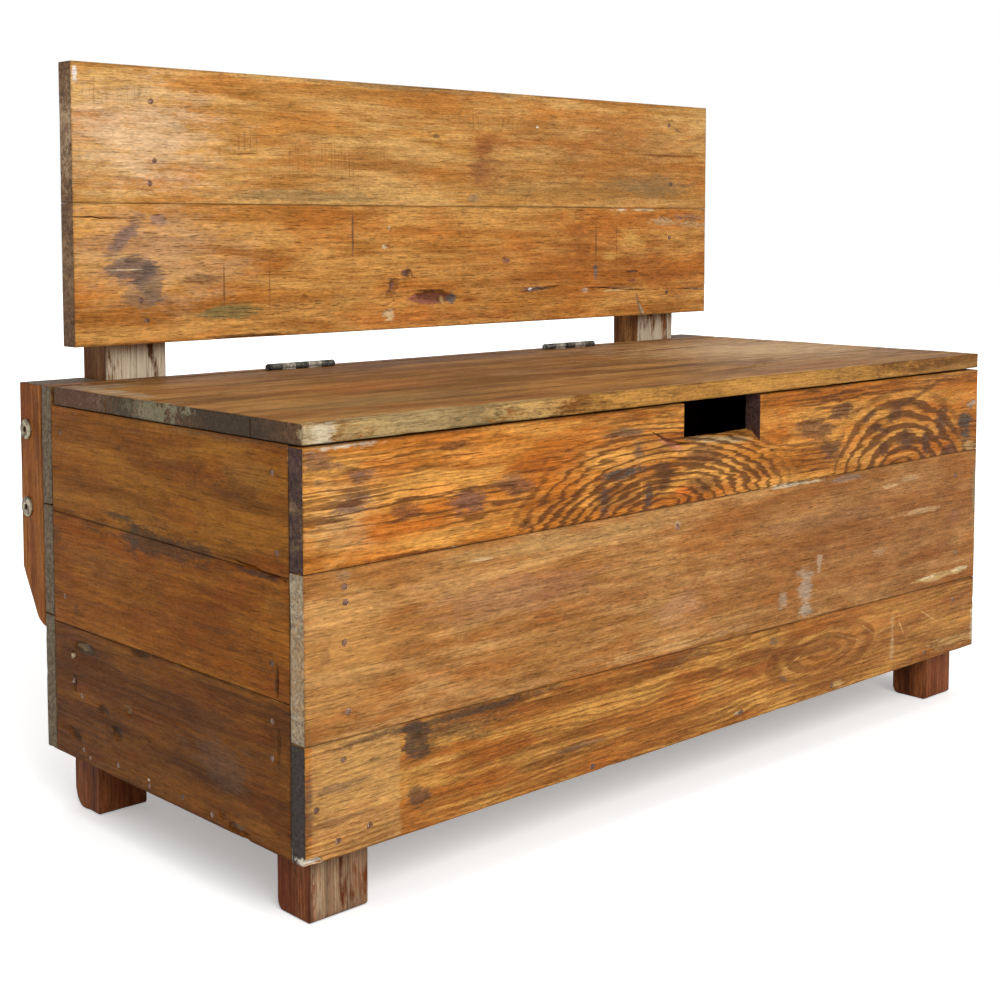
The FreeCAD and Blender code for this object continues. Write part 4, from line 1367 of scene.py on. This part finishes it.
rest_upper_marks_and_painted_light = [
    # Painted shade: the right part of this board darkened, as the light falls off towards the right.
    stain_and_painted_light((160, 98, 44), (250, 565), (240, 70), 0.65, soft=1.0, ragged=0.8),
    # Painted light: the left part of this board paler, where the light falls stronger.
    stain_and_painted_light((224, 190, 150), (-350, 560), (120, 60), 0.75, soft=1.0),
    stain_and_painted_light((126, 66, 30), (50, 563), (22, 14), 0.7, soft=0.9, ragged=0.8),
    stain_and_painted_light((130, 74, 38), (44, 536), (22, 18), 0.55, soft=0.9),
    stain_and_painted_light((134, 92, 48), (-372, 594), (36, 16), 0.4, sawn=True, ragged=1.5),
    stain_and_painted_light((128, 84, 44), (-150, 542), (100, 26), 0.55, sawn=True, ragged=1.5),
    stain_and_painted_light((128, 84, 44), (-238, 560), (22, 10), 0.5, sawn=True, ragged=1.5),
    stain_and_painted_light((128, 84, 44), (60, 588), (70, 12), 0.35, sawn=True, ragged=1.5),
    stain_and_painted_light((138, 114, 74), (-170, 511), (124, 7), 0.65, ragged=1.4),
    stain_and_painted_light((150, 112, 62), (200, 520), (215, 16), 0.5, ragged=1.4),
    stain_and_painted_light((136, 116, 84), (322, 528), (86, 14), 0.45, ragged=1.4),
    stain_and_painted_light((126, 120, 106), (38, 511), (12, 6), 0.5),
    stain_and_painted_light((148, 84, 38), (56, 568), (32, 15), 0.6),
    stain_and_painted_light((150, 96, 60), (55, 540), (30, 26), 0.4, ragged=1.6),
    stain_and_painted_light((176, 106, 46), (160, 570), (90, 9), 0.45),
    stain_and_painted_light((110, 66, 28), (318, 562), (90, 1.4), 0.7),
    stain_and_painted_light((110, 66, 34), (-238, 548), (26, 1.1), 0.7, turn=3),
    stain_and_painted_light((198, 124, 56), (200, 598), (170, 12), 0.4),
    stain_and_painted_light((90, 64, 42), (-12, 572), (6, 3), 0.7),
    stain_and_painted_light((150, 116, 60), (338, 597), (12, 8), 0.5, ragged=2.0),
    stain_and_painted_light((90, 70, 52), (352, 591), (8, 1.4), 0.7, turn=-18),
    stain_and_painted_light((244, 232, 206), (128, 586), (2.4, 1.6), 0.95),
    stain_and_painted_light((232, 222, 214), (-405, 608), (3, 8), 0.8),
    stain_and_painted_light((140, 116, 78), (-20, 616), (200, 3), 0.5, ragged=1.6),
]
rest_lower_marks_and_painted_light = [
    # Painted shade: the right part of this board darkened, as the light falls off towards the right.
    stain_and_painted_light((168, 98, 42), (200, 440), (260, 70), 0.5, soft=1.0, ragged=0.8),
    # Painted light: the left part of this board paler, where the light falls stronger.
    stain_and_painted_light((206, 168, 126), (-330, 460), (130, 60), 0.55, soft=1.0),
    stain_and_painted_light((184, 106, 42), (340, 430), (76, 26), 0.5),
    stain_and_painted_light((180, 100, 44), (-20, 394), (140, 9), 0.45, ragged=1.6),
    stain_and_painted_light((104, 88, 84), (-354, 449), (30, 13), 0.85, soft=0.4, ragged=1.0),
    stain_and_painted_light((92, 82, 78), (-334, 437), (15, 22), 0.65, soft=0.5),
    stain_and_painted_light((112, 94, 92), (-362, 474), (30, 8), 0.75, turn=46),
    stain_and_painted_light((116, 98, 98), (-328, 490), (10, 8), 0.65, ragged=1.6),
    stain_and_painted_light((124, 102, 84), (-350, 423), (24, 12), 0.6, ragged=1.6),
    stain_and_painted_light((204, 180, 138), (-362, 447.3), (21, 1.0), 0.8, ragged=0.4),
    stain_and_painted_light((196, 166, 124), (-366, 458), (10, 5), 0.4, ragged=2.6),
    stain_and_painted_light((110, 70, 46), (-290, 437), (30, 4), 0.65, ragged=1.6),
    stain_and_painted_light((112, 108, 68), (-256, 409), (35, 8), 0.75, soft=0.4, ragged=1.0),
    stain_and_painted_light((106, 66, 40), (-262, 430), (1.2, 26), 0.7, ragged=0.4),
    stain_and_painted_light((98, 74, 62), (-117, 477), (1.8, 28), 0.8, ragged=0.4),
    stain_and_painted_light((110, 72, 44), (-213, 432), (1.1, 30), 0.5, ragged=0.4),
    stain_and_painted_light((104, 64, 44), (218, 466), (1.6, 34), 0.7, ragged=0.4),
    stain_and_painted_light((108, 104, 100), (218, 436), (4, 12), 0.75),
    stain_and_painted_light((112, 66, 36), (251, 465), (1.3, 28), 0.6, ragged=0.4),
    stain_and_painted_light((146, 88, 42), (192, 472), (17, 36), 0.45),
    stain_and_painted_light((232, 214, 178), (-78, 464), (5, 3), 0.9),
    stain_and_painted_light((228, 206, 170), (-72, 482), (2.2, 2.2), 0.9),
    stain_and_painted_light((216, 192, 150), (-74, 400), (7, 6), 0.75, ragged=2.0),
    stain_and_painted_light((92, 66, 72), (-50, 438), (7, 5), 0.8),
    stain_and_painted_light((100, 78, 84), (-70, 427), (8, 8), 0.75, ragged=1.5),
    stain_and_painted_light((136, 80, 70), (-18, 413), (30, 7), 0.9, soft=0.25, ragged=0.6),
    stain_and_painted_light((56, 28, 24), (-18, 420.5), (30, 1.8), 0.85),
    stain_and_painted_light((70, 78, 86), (8, 412), (8, 7), 0.9),
    stain_and_painted_light((226, 186, 118), (-3, 411), (4, 5), 0.85),
    stain_and_painted_light((126, 50, 34), (30, 409), (12, 3), 0.7),
    stain_and_painted_light((126, 110, 102), (128, 418), (25, 2.6), 0.85, turn=3),
    stain_and_painted_light((244, 240, 232), (118, 417.3), (3, 2), 0.95),
    stain_and_painted_light((226, 192, 130), (262, 413), (38, 1.9), 0.85, ragged=1.6),
    stain_and_painted_light((92, 72, 62), (246, 416), (50, 1.2), 0.7, ragged=0.6, turn=-2),
    stain_and_painted_light((90, 72, 76), (278, 433), (12, 1.3), 0.85, ragged=0.5),
    stain_and_painted_light((150, 88, 64), (277, 423), (10, 3), 0.7),
    stain_and_painted_light((196, 170, 146), (202, 414), (6, 4), 0.75, ragged=1.8),
    stain_and_painted_light((216, 170, 92), (275, 470), (28, 15), 0.65),
    stain_and_painted_light((214, 168, 92), (238, 450), (15, 6), 0.55),
    stain_and_painted_light((150, 84, 40), (330, 426), (60, 7), 0.4),
    stain_and_painted_light((190, 164, 126), (352, 487), (52, 6), 0.6, ragged=2.4),
    stain_and_painted_light((120, 100, 92), (370, 492), (34, 5), 0.5, ragged=2.0),
    stain_and_painted_light((222, 208, 184), (258, 501), (16, 1.8), 0.85, ragged=1.5),
    stain_and_painted_light((222, 200, 160), (300, 501), (26, 1.4), 0.7, ragged=1.8),
    stain_and_painted_light((122, 104, 82), (289, 396), (4, 16), 0.8, turn=24),
    stain_and_painted_light((196, 178, 150), (294, 390), (1.6, 9), 0.7, turn=24),
    stain_and_painted_light((124, 70, 34), (380, 412), (24, 1.2), 0.7),
    stain_and_painted_light((184, 178, 170), (386, 411), (20, 1.0), 0.6, turn=-3),
    stain_and_painted_light((60, 36, 22), (-240, 386.5), (54, 1.6), 0.8),
    stain_and_painted_light((106, 64, 40), (-390, 491.5), (24, 1.0), 0.75),
    stain_and_painted_light((112, 84, 84), (84, 448), (5, 3), 0.7),
]
foot_front_left_marks = [
    stain_and_painted_light((202, 184, 152), (25, -404), (50, 6), 0.6, ragged=2.4),
    stain_and_painted_light((70, 46, 34), (20, -400), (50, 3), 0.7, ragged=1.8),
    stain_and_painted_light((196, 172, 136), (22, -392), (24, 3), 0.6, ragged=1.8),
]
block_marks = [
    stain_and_painted_light((150, 84, 34), (250, 180), (110, 30), 0.4, soft=0.9),
    stain_and_painted_light((112, 52, 24), (215, 186), (10, 6), 0.6),
    stain_and_painted_light((108, 50, 24), (190, 180), (9, 5), 0.6),
    stain_and_painted_light((96, 44, 22), (176, 190), (6, 4), 0.6),
    stain_and_painted_light((180, 112, 50), (280, 176), (60, 7), 0.5),
]

# Woods
front_woods = {
    "top": wood(
        "front_top_wood",
        dark=(146, 82, 28),
        middle=(192, 118, 44),
        light=(214, 150, 72),
        ring=(88, 52, 26),
        ring_strength=0.85,
        pitch=6.0,
        ripple=8.0,
        teeth=11.0,
        calm=0.12,
        arches=[arch((-62, 251), (205, 92), 0.36, 5.4), arch((290, 243), (140, 100), 0.62, 10.5)],
        relief=0.9,
        stains_and_painted_light=front_top_marks,
        end=((52, 38, 38), (96, 70, 62)),
        seed=1,
    ),
    "middle": wood(
        "front_middle_wood",
        dark=(146, 94, 46),
        middle=(172, 118, 62),
        light=(190, 140, 84),
        ring_strength=0.15,
        pores=0.45,
        wear=0.5,
        stains_and_painted_light=front_middle_marks_and_painted_shade,
        end=((132, 112, 90), (200, 182, 152)),
        seed=2,
    ),
    "bottom": wood(
        "front_bottom_wood",
        dark=(116, 70, 30),
        middle=(182, 116, 52),
        light=(204, 148, 74),
        ring=(118, 66, 26),
        ring_strength=0.6,
        pitch=4.6,
        wander=26.0,
        calm=0.35,
        arches=[arch((168, 92), (120, 30), 0.28, 8.5)],
        stains_and_painted_light=front_bottom_marks,
        end=((46, 40, 36), (80, 72, 64)),
        seed=3,
    ),
}
side_tones = {
    "bottom": ((84, 48, 16), (106, 60, 20), (128, 78, 28)),
    "middle": ((122, 68, 18), (146, 84, 24), (162, 100, 34)),
    "top": ((118, 70, 20), (142, 84, 26), (160, 102, 36)),
}
side_woods = {
    name: wood(
        "side_" + name + "_wood",
        "yzx",
        dark=tones[0],
        middle=tones[1],
        light=tones[2],
        ring=(70, 42, 20),
        ring_strength=0.15,
        streaks=0.12,
        blotch=1.0,
        stains_and_painted_light=side_marks,
        bare=(176, 146, 104),
        seed=4 + place,
    )
    for place, (name, tones) in enumerate(side_tones.items())
}
back_wood = wood(
    "back_wood",
    dark=(92, 60, 32),
    middle=(140, 94, 50),
    light=(164, 116, 66),
    end=((84, 70, 56), (136, 120, 96)),
    seed=7,
)
lid_woods = {
    name: wood(
        "lid_" + name + "_wood",
        "xyz",
        dark=(92, 60, 26),
        middle=(130, 86, 38),
        light=(156, 112, 58),
        ring_strength=0.2,
        wear=0.5,
        stains_and_painted_light=lid_marks_and_painted_highlight,
        end=((76, 54, 38), (110, 82, 58)),
        seed=8 + place,
    )
    for place, name in enumerate(("front", "middle", "rear"))
}
batten_wood = wood(
    "batten_wood",
    "yxz",
    dark=(104, 72, 42),
    middle=(150, 108, 66),
    light=(174, 132, 86),
    seed=12,
)
floor_wood = wood(
    "floor_wood",
    "xyz",
    dark=(96, 66, 38),
    middle=(146, 104, 64),
    light=(170, 130, 84),
    seed=13,
)
rest_woods = {
    "lower": wood(
        "backrest_lower_wood",
        streaks=0.163,
        dark=(158, 100, 44),
        middle=(190, 128, 60),
        light=(208, 152, 82),
        ring_strength=0.12,
        pores=0.6,
        blotch=0.7,
        stains_and_painted_light=rest_lower_marks_and_painted_light,
        end=((78, 56, 40), (140, 106, 76)),
        seed=14,
    ),
    "upper": wood(
        "backrest_upper_wood",
        streaks=0.163,
        dark=(166, 112, 54),
        middle=(194, 138, 70),
        light=(212, 164, 98),
        ring_strength=0.15,
        blotch=0.6,
        stains_and_painted_light=rest_upper_marks_and_painted_light,
        end=((78, 56, 40), (140, 106, 76)),
        seed=15,
    ),
}
post_wood = wood(
    "backrest_post_wood",
    "zxy",
    dark=(84, 50, 24),
    middle=(124, 76, 36),
    light=(150, 104, 58),
    weathered=((206, 190, 164), 0.9),
    bare=(214, 204, 186),
    seed=16,
)
block_wood = wood(
    "block_wood",
    "zyx",
    dark=(112, 58, 22),
    middle=(160, 92, 38),
    light=(178, 112, 52),
    stains_and_painted_light=block_marks,
    seed=17,
)
foot_woods = {
    name: wood(
        "foot_" + name + "_wood",
        "zxy",
        dark=(76, 38, 20),
        middle=(122, 64, 34),
        light=(146, 86, 50),
        ring_strength=0.2,
        stains_and_painted_light=foot_front_left_marks if name == "front_left" else (),
        weathered=((168, 140, 108), 0.55) if name == "front_left" else None,
        seed=18 + place,
    )
    for place, name in enumerate(("front_left", "front_right", "rear_left", "rear_right"))
}

# Metals
iron = old_metal("old_iron", (122, 84, 62), (84, 54, 42), (206, 180, 150), metallic=0.2, gloss=0.45)
dark_hinge = old_metal("dark_hinge", (98, 94, 86), (44, 42, 38), (168, 162, 148), metallic=0.7)
# The lid's hinge leaves: the hinge metal painted paler, a painted highlight.
hinge_painted_highlight = old_metal("hinge_painted_highlight", (176, 168, 150), (120, 112, 98), (214, 206, 190), metallic=0.7)
steel = old_metal("bolt_steel", (148, 136, 112), (84, 72, 56), (190, 180, 156), metallic=0.9, gloss=0.3)
screw_steel = old_metal("screw_steel", (120, 112, 100), (80, 68, 56), (170, 164, 152), metallic=0.9)

front_boards()
side_boards("left", left_face, side_woods, 81)
side_boards("right", right_face, side_woods, 91)
back_boards()
lid_boards()
backrest_boards()
corner_posts()
uprights()
nails()

dress([f"floor_board_{row}" for row in (1, 2, 3, 4)], floor_wood)
dress(["floor_batten"], batten_wood)
for side in ("left", "right"):
    dress(["hinge_back_leaf_" + side, "hinge_pin_" + side], dark_hinge)
    # The lid leaves take the hinge metal with its painted highlight.
    dress(["hinge_lid_leaf_" + side], hinge_painted_highlight)
dress(["connector_bolts", "barrel_nuts"], steel)
dress(["hinge_lid_screws", "hinge_back_screws", "lid_batten_screws", "block_screws"], screw_steel)
dress(["back_nails", "floor_batten_nails"], iron)


# Floor and light

def is_seen(tree):
    """1 where the camera, a reflection or a refraction looks, and 0 for the light that lands on things."""
    path = tree.node("ShaderNodeLightPath").outputs
    seen = tree.math("MAXIMUM", path["Is Camera Ray"], path["Is Glossy Ray"])
    return tree.math("MAXIMUM", seen, path["Is Transmission Ray"])


def grey(value):
    return (value, value, value, 1.0)


def add_floor():
    half = floor_half
    points = [(-half, -half, 0), (half, -half, 0), (half, half, 0), (-half, half, 0)]
    floor = add_mesh("floor", points, [(0, 1, 2, 3)])
    material = bpy.data.materials.new("pale_floor")
    material.use_nodes = True
    tree = Tree(material.node_tree)
    shader = material.node_tree.nodes["Principled BSDF"]
    seen = is_seen(tree)
    tree.put(shader.inputs["Base Color"], tree.blend(seen, grey(floor_grey), grey(floor_grey_seen)))
    tree.put(shader.inputs["Roughness"], 0.9)
    tree.put(shader.inputs["Specular IOR Level"], 0.1)
    tree.put(shader.inputs["Emission Color"], grey(1.0))
    away = tree.vector("LENGTH", tree.node("ShaderNodeTexCoord").outputs["Object"])
    glow = tree.math("MULTIPLY", seen, tree.ease(away, *floor_glow_reach, *floor_glow))
    tree.put(shader.inputs["Emission Strength"], glow)
    floor.data.materials.append(material)


def add_lamp(name, place, size, power, target=(0, 0, 0.25)):
    data = bpy.data.lights.new(name, "AREA")
    data.shape = "DISK"
    data.size = size
    data.energy = power
    lamp = bpy.data.objects.new(name, data)
    bpy.context.scene.collection.objects.link(lamp)
    lamp.location = place
    way = np.array(target) - np.array(place)
    flat = math.hypot(way[0], way[1])
    lamp.rotation_euler = (math.atan2(flat, -way[2]), 0, math.atan2(way[1], way[0]) - math.pi / 2)


def add_world():
    world = bpy.data.worlds.new("studio")
    world.use_nodes = True
    tree = Tree(world.node_tree)
    background = world.node_tree.nodes["Background"]
    tree.put(background.inputs["Color"], grey(1.0))
    tree.put(background.inputs["Strength"], tree.between(is_seen(tree), surround_strength, 1.0))
    bpy.context.scene.world = world


add_floor()
add_lamp("key", key_place, key_size, key_power)
add_lamp("top", top_place, top_size, top_power)
add_world()
bpy.context.scene.view_settings.view_transform = "Standard"
